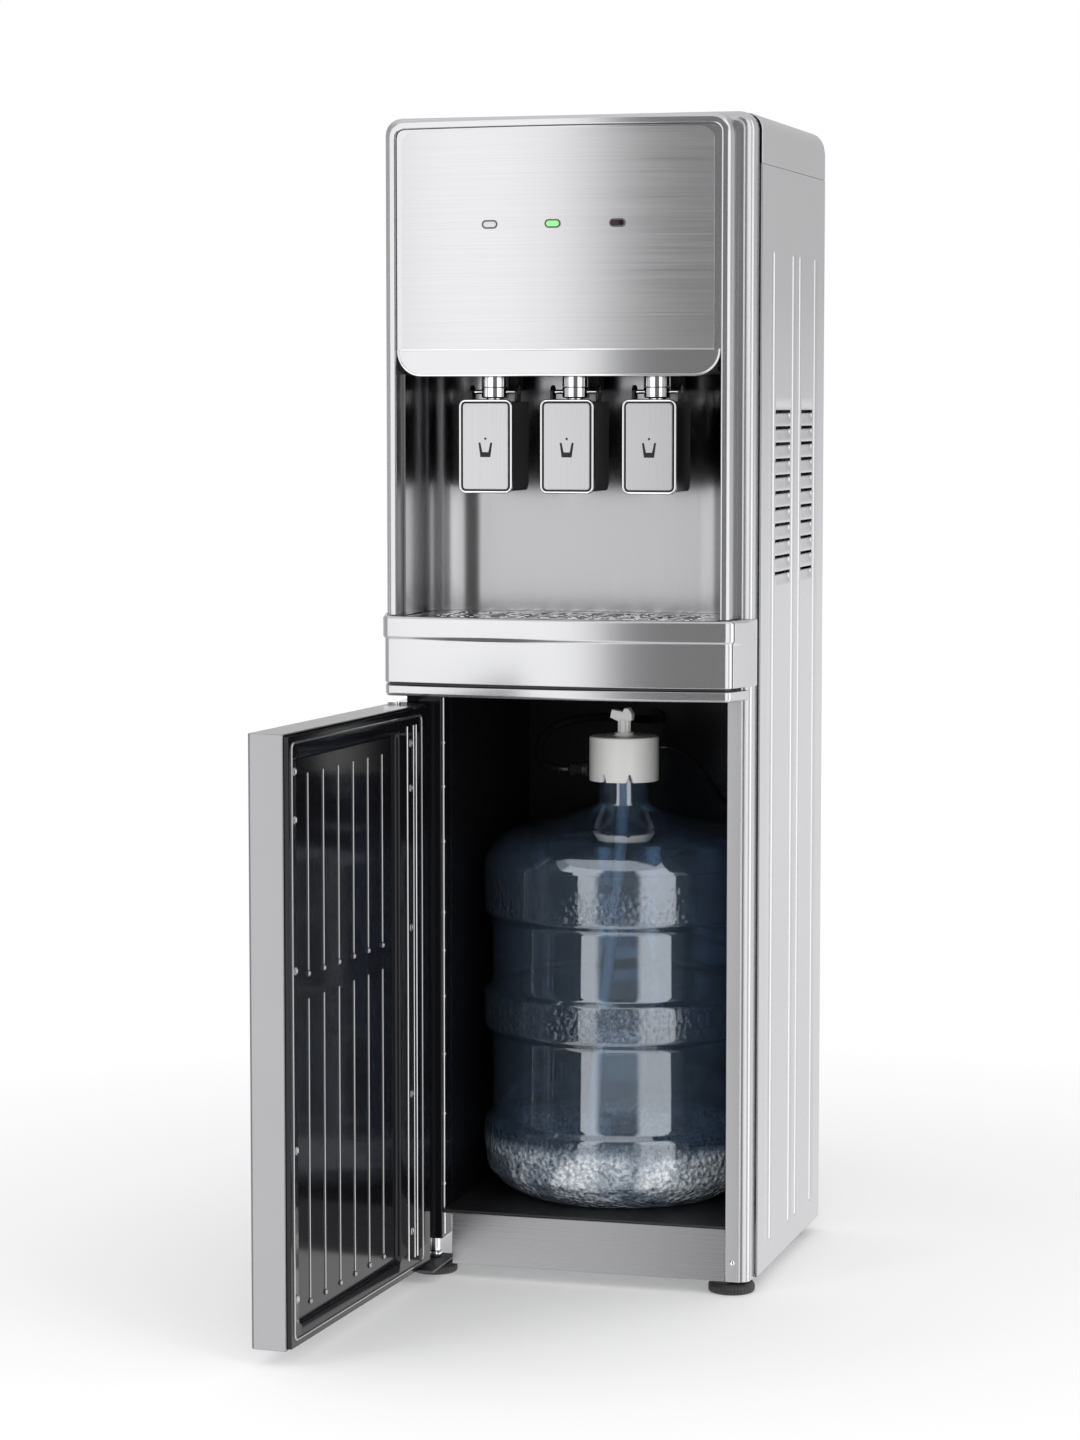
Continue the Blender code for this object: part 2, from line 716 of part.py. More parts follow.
def frame_profile():
    """The front frame's section: (distance in from the outer face, depth)."""
    centre = (FRAME_EDGE_RADIUS, FRAME_STEP_DROP + FRAME_EDGE_RADIUS)
    edge = arc(centre, FRAME_EDGE_RADIUS, 270, 180, ARC_STEPS)
    return [
        (FRAME_FACE, FRAME_DEPTH),
        (FRAME_FACE, 0),
        (FRAME_STEP_AT, 0),
        (FRAME_STEP_AT, FRAME_STEP_DROP),
        *edge,
        (0, FRAME_DEPTH),
    ]


def make_front_frame():
    """The moulding round the whole front: two posts and the rail over the head."""
    runs = []
    for inward, depth in frame_profile():
        radius = max(FRAME_CORNER - inward, SMALLEST_CORNER)
        line = arch(FRAME_SIDE - inward, TOTAL_HEIGHT - inward, DOOR_LOW, radius)
        line[0] = (line[0][0], UNDERSIDE)
        runs.append([(x, behind(depth), z) for x, z in line])
    return loft("front_frame", SILVER_PAINT, list(zip(*runs)))


def make_bezel():
    """The bowed ring round head and alcove. Each point is (in from outside, back from the face or None)."""
    profile = (
        (0, None),
        (0, BEZEL_ROUND),
        (BEZEL_INNER_ROUND, BEZEL_INNER_ROUND),
        (BEZEL_ROUND, 0),
        (BEZEL_FACE - BEZEL_INNER_ROUND, 0),
        (BEZEL_FACE, BEZEL_INNER_ROUND),
        (BEZEL_FACE, None),
    )
    runs = []
    for inward, back in profile:
        line = arch(BEZEL_HALF - inward, BEZEL_TOP - inward, HEAD_LOW, BEZEL_CORNER - inward, BOW_STEPS)
        if back is None:
            runs.append([(x, behind(-SEAT_GAP), z) for x, z in line])
        else:
            runs.append([(x, behind(back - BEZEL_EDGE - bow(x)), z) for x, z in line])
    return loft("head_bezel", SILVER_PAINT, list(zip(*runs)))


def bowed_plate(name, finish, places, low, high, edge, back):
    """A plate with a bowed front. low, high and back give its limits at a place across."""
    loops = []
    for x in places:
        front = behind(-edge - bow(x))
        loops.append(
            [(x, front, low(x)), (x, front, high(x)), (x, back(x), high(x)), (x, back(x), low(x))]
        )
    return loft(name, finish, loops)


def stadium(name, finish, x, width, height, front, back):
    """A bar with round ends, run from front to back at an indicator's place."""
    radius = height / 2
    right = arc((x + width / 2 - radius, LENS_Z), radius, -90, 90, LENS_STEPS)
    left = arc((x - width / 2 + radius, LENS_Z), radius, 90, 270, LENS_STEPS)
    return prism(name, finish, right + left, front, back, "y")


def lens_front(x):
    return behind(-PANEL_EDGE - bow(x))


def lens_slots():
    """Cutters for the three indicators, a seat gap larger than their lenses."""
    slots = []
    for x in (-LENS_PITCH, 0, LENS_PITCH):
        back = lens_front(x) + LENS_DEPTH + SEAT_GAP
        width = LENS_WIDTH + 2 * SEAT_GAP
        height = LENS_HEIGHT + 2 * SEAT_GAP
        slots.append(stadium("slot", None, x, width, height, lens_front(x) - OVERRUN, back))
    return group("slots", slots)


def make_head_front():
    """The carrier behind the panel, with the chin that closes the alcove's top."""
    corner = BEZEL_CORNER - BEZEL_FACE
    places = sorted({round(x, 6) for x in stations(CARRIER_HALF, CHIN_CORNER)} | {
        round(side * (CARRIER_HALF - corner * (1 - part)), 6)
        for side in (-1, 1)
        for part in (0, math.sin(math.pi / 4), 1)
    })
    carrier = bowed_plate(
        "head_front",
        SILVER_PAINT,
        places,
        lambda x: CHIN_LOW + rounded_drop(x, CARRIER_HALF, CHIN_CORNER),
        lambda x: CARRIER_TOP - rounded_drop(x, CARRIER_HALF, corner),
        CARRIER_EDGE,
        lambda x: behind(CARRIER_BACK),
    )
    return combine(carrier, "DIFFERENCE", lens_slots())


def make_control_panel():
    """The brushed sheet on the carrier."""
    panel = bowed_plate(
        "control_panel",
        BRUSHED_STEEL,
        stations(PANEL_HALF, PANEL_CORNER),
        lambda x: PANEL_LOW,
        lambda x: PANEL_TOP - rounded_drop(x, PANEL_HALF, PANEL_CORNER),
        PANEL_EDGE,
        lambda x: behind(PANEL_SHEET - PANEL_EDGE - bow(x)),
    )
    return combine(panel, "DIFFERENCE", lens_slots())


def make_indicators():
    finishes = (CLEAR_LENS, GREEN_LENS, DARK_LENS)
    for number, finish in enumerate(finishes, 1):
        x = (number - 2) * LENS_PITCH
        front = lens_front(x)
        stadium(f"indicator_{number}", finish, x, LENS_WIDTH, LENS_HEIGHT, front, front + LENS_DEPTH)


def make_control_board():
    """The circuit board behind the carrier."""
    back = behind(CARRIER_BACK) + SEAT_GAP
    low = (-BOARD_HALF, back, LENS_Z - BOARD_HEIGHT / 2)
    high = (BOARD_HALF, back + BOARD_THICKNESS, LENS_Z + BOARD_HEIGHT / 2)
    return box("control_board", BOARD_GREEN, low, high)


def plan_u(half, front, back, corner):
    """A plan that is straight in front and round at its two back corners."""
    right = arc((half - corner, back - corner), corner, 0, 90, PLAN_STEPS)
    return [(half, front), *right, *[(-x, y) for x, y in reversed(right)], (-half, front)]


def make_alcove_liner():
    """The alcove's cheeks and back, one sheet with round corners."""
    front = behind(ALCOVE_FRONT)
    outer = plan_u(LINER_OUTER, front, behind(ALCOVE_BACK + LINER_SHEET), ALCOVE_CORNER + LINER_SHEET)
    inner = plan_u(ALCOVE_HALF, front, behind(ALCOVE_BACK), ALCOVE_CORNER)
    return prism("alcove_liner", BRUSHED_STEEL, outer + inner[::-1], APRON_LOW, LINER_TOP)


def make_tank_shelf():
    """The shelf under the tanks, whose front is the alcove's ceiling, with a housing behind each tap."""
    outline = (
        (-LINER_OUTER, behind(CARRIER_BACK + SEAT_GAP)),
        (LINER_OUTER, behind(CARRIER_BACK + SEAT_GAP)),
        (LINER_OUTER, behind(FRAME_DEPTH + SEAT_GAP)),
        (INSIDE, behind(FRAME_DEPTH + SEAT_GAP)),
        (INSIDE, behind(SHELF_BACK)),
        (-INSIDE, behind(SHELF_BACK)),
        (-INSIDE, behind(FRAME_DEPTH + SEAT_GAP)),
        (-LINER_OUTER, behind(FRAME_DEPTH + SEAT_GAP)),
    )
    shelf = prism("tank_shelf", DARK_PAINT, outline, CEILING_LOW, CEILING_LOW + CEILING_SHEET)
    half = ARM_INNER - MOUNT_CLEARANCE
    front = TAP_DEPTH + COLLAR_RADIUS + MOUNT_CLEARANCE
    housings = [
        box(
            "housing",
            None,
            (x - half, behind(front), CEILING_LOW - MOUNT_DROP),
            (x + half, behind(front + MOUNT_DEPTH), CEILING_LOW + CEILING_SHEET / 2),
        )
        for x in (-TAP_PITCH, 0, TAP_PITCH)
    ]
    return combine(shelf, "UNION", group("housings", housings))


def make_tap(number):
    """A chromed tap with its nozzle and the cross pin that the lever hangs on."""
    x = (number - 2) * TAP_PITCH
    neck_low = COLLAR_LOW - NECK_HEIGHT
    nozzle_low = neck_low - NOZZLE_HEIGHT
    profile = (
        (0, nozzle_low + BORE_DEPTH),
        (NOZZLE_BORE, nozzle_low + BORE_DEPTH),
        (NOZZLE_BORE, nozzle_low),
        (NOZZLE_RADIUS, nozzle_low),
        (NOZZLE_RADIUS, neck_low),
        (NECK_RADIUS, neck_low),
        (NECK_RADIUS, COLLAR_LOW),
        (COLLAR_RADIUS - COLLAR_CHAMFER, COLLAR_LOW),
        (COLLAR_RADIUS, COLLAR_LOW + COLLAR_CHAMFER),
        (COLLAR_RADIUS, COLLAR_TOP),
        (0, COLLAR_TOP),
    )
    tap = lathe(f"tap_body_{number}", CHROME, profile, (x, behind(TAP_DEPTH), 0), segments=FINE_STEPS)
    half = ARM_WIDTH / 2
    pin = cylinder("pin", None, PIN_RADIUS, -half, half, (x, behind(TAP_DEPTH), PIN_Z), "x", FINE_STEPS // 2)
    return combine(tap, "UNION", pin)


def arm_outline():
    """The lever arm's side: a deep cheek with a round lower rear corner and an ear round the pin."""
    top = FACE_LOW + FACE_HEIGHT - ARM_MARGIN
    low = FACE_LOW + ARM_MARGIN
    back = ARM_FRONT + ARM_REACH
    ear = EAR_WIDTH / 2
    middle = behind(TAP_DEPTH)
    lower = arc((behind(back - ARM_CORNER), low + ARM_CORNER), ARM_CORNER, 270, 360, ARC_STEPS)
    over = arc((middle, PIN_Z), ear, 0, 180, HALF_ROUND_STEPS)
    front = behind(ARM_FRONT)
    return [
        (front, low),
        *lower,
        (behind(back), top),
        (middle + ear, top),
        *over,
        (middle - ear, top),
        (front, top),
    ]


def make_lever(number):
    """A push lever: the arm hung on the tap's pin, and the framed face on it."""
    x = (number - 2) * TAP_PITCH
    half = ARM_WIDTH / 2
    pivot = Vector((x, behind(TAP_DEPTH), PIN_Z))
    arm = prism(f"lever_arm_{number}", BLACK_PLASTIC, arm_outline(), x - half, x + half, "x")
    hollow = box(
        "hollow",
        None,
        (x - ARM_INNER, behind(ARM_FRONT + ARM_WALL), FACE_LOW - OVERRUN),
        (x + ARM_INNER, behind(ARM_FRONT + ARM_REACH + OVERRUN), CEILING_LOW),
    )
    reach = half + OVERRUN
    hole = cylinder("hole", None, PIN_RADIUS + PIN_CLEARANCE, -reach, reach, pivot, "x", FINE_STEPS)
    combine(arm, "DIFFERENCE", hollow, hole)
    left = x - FACE_WIDTH / 2
    outline = rounded(left, left + FACE_WIDTH, FACE_LOW, FACE_LOW + FACE_HEIGHT, FACE_CORNER)
    face = prism(
        f"lever_face_{number}",
        BRUSHED_STEEL,
        outline,
        behind(FACE_DEPTH),
        behind(FACE_DEPTH + FACE_THICKNESS),
        "y",
    )
    for piece in (arm, face):
        move_origin(piece, pivot)


def move_origin(obj, point):
    """Puts an object's origin at a point and leaves its shape where it is."""
    for vertex in obj.data.vertices:
        vertex.co -= Vector(point)
    obj.location = point


def make_band():
    """Apron with the tray's rim in three pieces, and the strip under its shadow gap."""
    section = (
        (-BAND_WALL, APRON_LOW),
        (0, APRON_LOW),
        (0, RIM_TOP - RIM_HEIGHT - RIM_STEP),
        (RIM_PROUD, RIM_TOP - RIM_HEIGHT),
        (RIM_PROUD, RIM_TOP - RIM_ROUND),
        (RIM_PROUD - RIM_ROUND, RIM_TOP),
        (-BAND_WALL, RIM_TOP),
    )
    groove = groove_depth(GROOVE_ALONG)
    front = front_path()
    edge = on_taper(groove)
    sweep("apron", SILVER_PAINT, [edge, *front, *mirrored([edge])], section)
    slim = -SLIM_CLEARANCE
    right = [
        (BAND_HALF, behind(BAND_REAR), 1, 0),
        (BAND_HALF, behind(TAPER_FROM), 1, 0),
        on_taper(slim),
        on_taper(slim - BAND_WALL),
        on_taper(groove_depth(GROOVE_ALONG + BAND_GROOVE)),
    ]
    walls = [SLIM_WALL, SLIM_WALL, SLIM_WALL, BAND_WALL, BAND_WALL]
    sweep("band_corner_right", SILVER_PAINT, right, section, walls, CORNER_LIP_SHARES)
    sweep("band_corner_left", SILVER_PAINT, mirrored(right), section, walls[::-1], CORNER_LIP_SHARES[::-1])
    strip = (
        (-BAND_WALL, STRIP_LOW),
        (-STRIP_INSET - RIM_ROUND, STRIP_LOW),
        (-STRIP_INSET, STRIP_LOW + RIM_ROUND),
        (-STRIP_INSET, STRIP_TOP),
        (-BAND_WALL, STRIP_TOP),
    )
    end = on_taper(-2 * SEAT_GAP)
    sweep("band_strip", SILVER_PAINT, [end, *front, *mirrored([end])], strip)


def make_tray_deck():
    """The plate between strip and apron that carries the tray in front and the cooling parts behind."""
    front = [(x - nx * DECK_INSET, y - ny * DECK_INSET) for x, y, nx, ny in front_path()]
    waist = FRAME_INNER - SEAT_GAP
    face = behind(-SEAT_GAP)
    step = behind(FRAME_DEPTH + SEAT_GAP)
    back = behind(BACK_INNER - SEAT_GAP)
    right = [(INSIDE, back), (INSIDE, step), (waist, step), (waist, face), (front[0][0], face)]
    left = [(-x, y) for x, y in reversed(right)]
    return prism("tray_deck", DARK_PAINT, [*right, *front, *left], DECK_LOW, DECK_TOP)


def tray_plan(inset):
    """The tray's plan: bowed in front, and as round at the back as the alcove."""
    half = TRAY_HALF - inset
    edge = TRAY_FRONT_EDGE - inset
    fall = TRAY_FRONT_CORNER
    front = [(-x, behind(-edge - bow(x))) for x in spread(half - fall, BOW_STEPS)]
    corner = TRAY_BACK_CORNER - inset
    back = arc((half - corner, behind(TRAY_BACK - TRAY_BACK_CORNER)), corner, 0, 90, PLAN_STEPS)
    shoulder = behind(fall - edge)
    return [*front, (half, shoulder), *back, *[(-x, y) for x, y in reversed(back)], (-half, shoulder)]


def make_drip_tray():
    tray = prism("drip_tray", BLACK_PLASTIC, tray_plan(0), TRAY_LOW, TRAY_TOP)
    basin = prism("basin", None, tray_plan(TRAY_WALL), TRAY_LOW + TRAY_WALL, TRAY_TOP + OVERRUN)
    return combine(tray, "DIFFERENCE", basin)


def make_drip_grille():
    """The grille on the tray, with rows of slots and a round finger hole near each end."""
    grille = prism("drip_grille", BRUSHED_STEEL, tray_plan(0), GRILLE_LOW, GRILLE_LOW + GRILLE_SHEET)
    low = GRILLE_LOW - OVERRUN
    high = GRILLE_LOW + GRILLE_SHEET + OVERRUN
    cuts = []
    for column in range(SLOT_COLUMNS):
        x = (column - (SLOT_COLUMNS - 1) / 2) * SLOT_PITCH_X
        for row in range(SLOT_ROWS):
            if column in FINGER_COLUMNS and row in FINGER_ROWS:
                continue
            y = behind(SLOT_FIRST_DEPTH + row * SLOT_PITCH_Y)
            half = (SLOT_LENGTH / 2, SLOT_WIDTH / 2)
            cuts.append(
                box(
                    "slot",
                    None,
                    (x - half[0], y - half[1], low),
                    (x + half[0], y + half[1], high),
                )
            )
        if column in FINGER_COLUMNS:
            y = behind(SLOT_FIRST_DEPTH + sum(FINGER_ROWS) / 2 * SLOT_PITCH_Y)
            cuts.append(cylinder("finger", None, SLOT_LENGTH / 2, low, high, (x, y, 0)))
    return combine(grille, "DIFFERENCE", group("cuts", cuts))


def make_side_panel(name, side):
    """A sheet with two pressed fields, each with a column of hooded louvres."""
    outer = side * SIDE
    inner = side * (SIDE - SHEET)
    floor = side * (SIDE - PRESSING_DEPTH)
    floor_inner = side * (SIDE - PRESSING_DEPTH - SHEET)

    def slab(x_a, x_b, depths, heights):
        low = (min(x_a, x_b), behind(depths[0]), heights[0])
        high = (max(x_a, x_b), behind(depths[1]), heights[1])
        return box("slab", None, low, high)

    front = FRAME_DEPTH + SEAT_GAP
    panel = box(
        name,
        SILVER_PAINT,
        (min(outer, inner), behind(front), UNDERSIDE),
        (max(outer, inner), behind(CABINET_DEPTH), COVER_LOW - SEAT_GAP),
    )
    backs = []
    fields = []
    slots = []
    flaps = []
    inside_sheet = side * (SIDE - SHEET / 2)
    for start, end in [(first * CABINET_DEPTH, last * CABINET_DEPTH) for first, last in PRESSING_SHARES]:
        grown = ((start - SHEET, end + SHEET), (PRESSING_LOW - SHEET, PRESSING_TOP + SHEET))
        backs.append(slab(inside_sheet, floor_inner, *grown))
        fields.append(slab(outer + side * OVERRUN, floor, (start, end), (PRESSING_LOW, PRESSING_TOP)))
        first = start + LOUVRE_MARGIN
        last = end - LOUVRE_MARGIN
        for number in range(LOUVRE_COUNT):
            z = LOUVRE_LOW + number * LOUVRE_PITCH
            slot_low = z + LOUVRE_FLAP
            slots.append(
                slab(floor + side * OVERRUN, floor_inner - side * OVERRUN, (first, last),
                     (slot_low, slot_low + LOUVRE_SLOT))
            )
            root = floor - side * SHEET / 2
            wedge = ((root, z), (floor, z), (outer, slot_low), (root, slot_low))
            flaps.append(prism("flap", None, wedge, behind(first), behind(last), "y"))
    combine(panel, "UNION", group("backs", backs))
    combine(panel, "DIFFERENCE", group("fields", fields))
    combine(panel, "UNION", group("flaps", flaps))
    return combine(panel, "DIFFERENCE", group("slots", slots))


def make_top_cover():
    """The lid: an arched sheet with a round rear edge, open in front and underneath."""
    front = behind(FRAME_DEPTH + SEAT_GAP)
    back = behind(CABINET_DEPTH)
    outline = arch(SIDE, TOTAL_HEIGHT, COVER_LOW, FRAME_CORNER)
    loops = [[(x, front, z) for x, z in outline]]
    for step in range(COVER_ROUND_STEPS + 1):
        turn = math.pi / 2 * step / COVER_ROUND_STEPS
        y = back - COVER_ROUND * (1 - math.sin(turn))
        top = TOTAL_HEIGHT - COVER_ROUND * (1 - math.cos(turn))
        loops.append([(x, y, z) for x, z in arch(SIDE, top, COVER_LOW, FRAME_CORNER)])
    cover = loft("top_cover", SILVER_PAINT, loops)
    half = SIDE - COVER_SHEET
    inner = arch(half, TOTAL_HEIGHT - COVER_SHEET, COVER_LOW - OVERRUN, FRAME_CORNER - COVER_SHEET)
    hollow = prism("hollow", None, inner, front - OVERRUN, back - COVER_ROUND, "y")
    return combine(cover, "DIFFERENCE", hollow)


def make_back_panel():
    """The rear sheet, pressed in behind the condenser, with windows for switches and mains inlet."""
    front = behind(BACK_INNER)
    back = behind(BACK_OUTER)
    panel = box(
        "back_panel", GALVANISED, (-BACK_HALF, front, UNDERSIDE), (BACK_HALF, back, COVER_LOW - SEAT_GAP)
    )
    floor = behind(BACK_OUTER - RECESS_DEPTH)
    grown = RECESS_HALF + BACK_SHEET
    pan = box(
        "pan",
        None,
        (-grown, floor - BACK_SHEET, RECESS_LOW - BACK_SHEET),
        (grown, (front + back) / 2, RECESS_TOP + BACK_SHEET),
    )
    recess = box(
        "recess",
        None,
        (-RECESS_HALF, floor, RECESS_LOW),
        (RECESS_HALF, back + OVERRUN, RECESS_TOP),
    )
    half = (PLATE_WIDTH / 2 - PLATE_MARGIN, SWITCH_HEIGHT / 2 + SWITCH_CLEARANCE)
    window = box(
        "window",
        None,
        (SWITCH_X - half[0], front - OVERRUN, SERVICE_Z - half[1]),
        (SWITCH_X + half[0], back + OVERRUN, SERVICE_Z + half[1]),
    )
    hole = cylinder(
        "hole", None, INLET_BORE, front - OVERRUN, back + OVERRUN, (INLET_X, 0, SERVICE_Z), "y", FINE_STEPS
    )
    combine(panel, "UNION", pan)
    return combine(panel, "DIFFERENCE", recess, window, hole)


def make_switches():
    """The switch plate and its two rockers, each tilted to its off side."""
    front = behind(BACK_OUTER) + SEAT_GAP
    plate = box(
        "switch_plate",
        BLACK_PLASTIC,
        (SWITCH_X - PLATE_WIDTH / 2, front, SERVICE_Z - PLATE_HEIGHT / 2),
        (SWITCH_X + PLATE_WIDTH / 2, front + PLATE_SHEET, SERVICE_Z + PLATE_HEIGHT / 2),
    )
    windows = []
    for name, side in (("switch_cold", -1), ("switch_hot", 1)):
        x = SWITCH_X + side * SWITCH_PITCH / 2
        half = (SWITCH_WIDTH / 2 + SWITCH_CLEARANCE, SWITCH_HEIGHT / 2 + SWITCH_CLEARANCE)
        windows.append(
            box(
                "window",
                None,
                (x - half[0], front - OVERRUN, SERVICE_Z - half[1]),
                (x + half[0], front + PLATE_SHEET + OVERRUN, SERVICE_Z + half[1]),
            )
        )
        rocker = box(
            name,
            BLACK_PLASTIC,
            (-SWITCH_WIDTH / 2, -SWITCH_THICKNESS / 2, -SWITCH_HEIGHT / 2),
            (SWITCH_WIDTH / 2, SWITCH_THICKNESS / 2, SWITCH_HEIGHT / 2),
        )
        rocker.location = (x, front + PLATE_SHEET / 2, SERVICE_Z)
        rocker.rotation_euler.x = -SWITCH_TILT
    return combine(plate, "DIFFERENCE", group("windows", windows))


def make_power_inlet():
    """The gland that the mains lead comes through."""
    low = behind(BACK_OUTER) + SEAT_GAP
    high = low + INLET_LENGTH
    neck = behind(BACK_INNER)
    slim = INLET_BORE - SEAT_GAP
    bore = INLET_BORE / 2
    flange = INLET_RADIUS
    profile = ((bore, neck), (slim, neck), (slim, low), (flange, low), (flange, high), (bore, high))
    return lathe(
        "power_inlet", BLACK_PLASTIC, profile, (INLET_X, 0, SERVICE_Z), "y", FINE_STEPS, closed=True
    )


def make_base():
    """Base pan, kick plate and the four levelling feet."""
    back = behind(BACK_INNER - SEAT_GAP)
    front = behind(JAMB_DEPTH + FRONT_CLEARANCE)
    pan = box("base_pan", GALVANISED, (-INSIDE, front, UNDERSIDE), (INSIDE, back, BASE_TOP))
    under = box(
        "under",
        None,
        (PRESSED_SHEET - INSIDE, behind(JAMB_DEPTH - OVERRUN), UNDERSIDE - OVERRUN),
        (INSIDE - PRESSED_SHEET, back - PRESSED_SHEET, BASE_TOP - PRESSED_SHEET),
    )
    combine(pan, "DIFFERENCE", under)
    flange = BASE_TOP - PRESSED_SHEET
    outline = (
        (0, UNDERSIDE),
        (PRESSED_SHEET, UNDERSIDE),
        (PRESSED_SHEET, flange),
        (JAMB_DEPTH, flange),
        (JAMB_DEPTH, BASE_TOP),
        (PRESSED_SHEET, BASE_TOP),
        (PRESSED_SHEET, KICK_TOP),
        (0, KICK_TOP),
    )
    points = [(behind(depth), z) for depth, z in outline]
    prism("kick_plate", BRUSHED_STEEL, points, KICK_LEFT, FRAME_INNER - SEAT_GAP, "x")
    pan_seat = BASE_TOP - PRESSED_SHEET - SEAT_GAP
    make_foot("foot_front_left", LEFT_FOOT_X, FRONT_FOOT_DEPTH, JAMB_LOW - SEAT_GAP)
    make_foot("foot_front_right", RIGHT_FOOT_X, FRONT_FOOT_DEPTH, UNDERSIDE - SEAT_GAP)
    make_foot("foot_rear_left", -REAR_FOOT_X, REAR_FOOT_DEPTH, pan_seat)
    make_foot("foot_rear_right", REAR_FOOT_X, REAR_FOOT_DEPTH, pan_seat)


def make_foot(name, x, depth, seat):
    """A levelling foot: a disc on the floor and its stud up to the seat it carries."""
    profile = (
        (0, 0),
        (FOOT_RADIUS - FOOT_ROUND / 2, 0),
        (FOOT_RADIUS, FOOT_ROUND / 2),
        (FOOT_RADIUS, FOOT_HEIGHT - FOOT_ROUND),
        (FOOT_RADIUS - FOOT_ROUND, FOOT_HEIGHT),
        (STUD_RADIUS, FOOT_HEIGHT),
        (STUD_RADIUS, seat),
        (0, seat),
    )
    return lathe(name, RUBBER, profile, (x, behind(depth), 0))


def make_bay():
    """The bay's black liner with its two line sockets, its floor, and the jamb beside the hinge."""
    front = behind(JAMB_DEPTH + SEAT_GAP)
    back = behind(BAY_BACK)
    right = FRAME_INNER
    liner = box(
        "bay_liner",
        BLACK_PLASTIC,
        (BAY_LEFT - PRESSED_SHEET, front, FLOOR_LOW),
        (right + PRESSED_SHEET, back + PRESSED_SHEET, BAY_TOP + PRESSED_SHEET),
    )
    hollow = box("hollow", None, (BAY_LEFT, front - OVERRUN, FLOOR_LOW - OVERRUN), (right, back, BAY_TOP))
    combine(liner, "DIFFERENCE", hollow)
    lip = box(
        "lip",
        None,
        (BAY_LEFT + SEAT_GAP, behind(FRONT_CLEARANCE), BAY_TOP),
        (right - SEAT_GAP, front + OVERRUN, BAY_TOP + PRESSED_SHEET),
    )
    sockets = [
        cylinder(
            "socket",
            None,
            radius + SOCKET_WALL,
            behind(BAY_BACK - SOCKET_LENGTH),
            back + PRESSED_SHEET / 2,
            (route[-1][0], 0, route[-1][2]),
            "y",
            FINE_STEPS,
        )
        for radius, route in ((HOSE_RADIUS, HOSE_ROUTE), (CABLE_RADIUS, CABLE_ROUTE))
    ]
    combine(liner, "UNION", lip, *sockets)
    box(
        "bay_floor",
        BLACK_PLASTIC,
        (BAY_LEFT + SEAT_GAP, behind(PRESSED_SHEET + SEAT_GAP), FLOOR_LOW),
        (right - SEAT_GAP, back - SEAT_GAP, FLOOR_TOP),
    )
    box(
        "hinge_jamb",
        BLACK_PLASTIC,
        (-FRAME_INNER + SEAT_GAP, behind(FRONT_CLEARANCE), JAMB_LOW),
        (BAY_LEFT, behind(JAMB_DEPTH), BRACKET_TOP),
    )


def door_plan(outer, inner, free, hinge):
    """The closed door's plan about its pin, its inner hinge corner cut to the circle that it may sweep."""
    limit = math.sqrt(DOOR_SWEEP**2 - inner**2)
    start = math.degrees(math.asin(inner / DOOR_SWEEP))
    end = math.degrees(math.acos(-hinge / DOOR_SWEEP))
    line = arc((0, 0), DOOR_SWEEP, 180 - start, 180 - end, ARC_STEPS) if limit < -hinge else [(hinge, inner)]
    return [
        *arc((hinge + SKIN_CORNER, outer + SKIN_CORNER), SKIN_CORNER, 180, 270, ARC_STEPS),
        *arc((free - SKIN_CORNER, outer + SKIN_CORNER), SKIN_CORNER, 270, 360, ARC_STEPS),
        (free, inner),
        *line,
    ]


def make_door():
    """The door hung open on its pin: silver skin outside and ribbed black liner inside."""
    pivot = bpy.data.objects.new("door_pivot", None)
    bpy.context.scene.collection.objects.link(pivot)
    pivot.location = (HINGE_X, behind(HINGE_DEPTH), 0)
    pivot.rotation_euler.z = -DOOR_OPEN
    skin_inner = DOOR_OUTER + SKIN_DEPTH
    skin = prism(
        "door_skin",
        SILVER_PAINT,
        door_plan(DOOR_OUTER, skin_inner, DOOR_FREE_END, DOOR_HINGE_END),
        DOOR_LOW,
        DOOR_TOP,
    )
    pocket = box(
        "pocket",
        None,
        (HINGE_COLUMN, DOOR_OUTER + SKIN_WALL, DOOR_LOW + SKIN_WALL),
        (DOOR_FREE_END - SKIN_WALL, skin_inner + OVERRUN, DOOR_TOP - SKIN_WALL),
    )
    bore = HINGE_PIN_RADIUS + HINGE_PIN_CLEARANCE
    depth = HINGE_PIN_LENGTH + SEAT_GAP
    lower = cylinder("bore", None, bore, DOOR_LOW - OVERRUN, DOOR_LOW + depth, (0, 0, 0))
    upper = cylinder("bore", None, bore, DOOR_TOP - depth, DOOR_TOP + OVERRUN, (0, 0, 0))
    combine(skin, "DIFFERENCE", pocket, lower, upper)
    base = skin_inner + SEAT_GAP
    hinge_end = -math.sqrt(DOOR_SWEEP**2 - base**2)
    start = math.degrees(math.asin(base / DOOR_SWEEP))
    free = DOOR_FREE_END - LINER_MARGIN
    crest = DOOR_SWEEP
    turned = arc((0, 0), crest, 90, 180 - start, ARC_STEPS)[:-1]
    outline = [(hinge_end, base), (free, base), (free, crest), *turned]
    low = DOOR_LOW + LINER_MARGIN
    high = DOOR_TOP - LINER_MARGIN
    liner = prism("door_liner", BLACK_PLASTIC, outline, low, high)
    middle = (low + high) / 2
    rows = ((low + LINER_BORDER, middle - LINER_BORDER / 2), (middle + LINER_BORDER / 2, high - LINER_BORDER))
    pitch = (free - LINER_BORDER - FIELD_LEFT + RIB_WIDTH) / RIB_FIELDS
    fields = [
        box(
            "field",
            None,
            (FIELD_LEFT + number * pitch, crest - RIB_HEIGHT, bottom),
            (FIELD_LEFT + (number + 1) * pitch - RIB_WIDTH, crest + OVERRUN, top),
        )
        for bottom, top in rows
        for number in range(RIB_FIELDS)
    ]
    combine(liner, "DIFFERENCE", group("fields", fields))
    for piece in (skin, liner):
        piece.parent = pivot


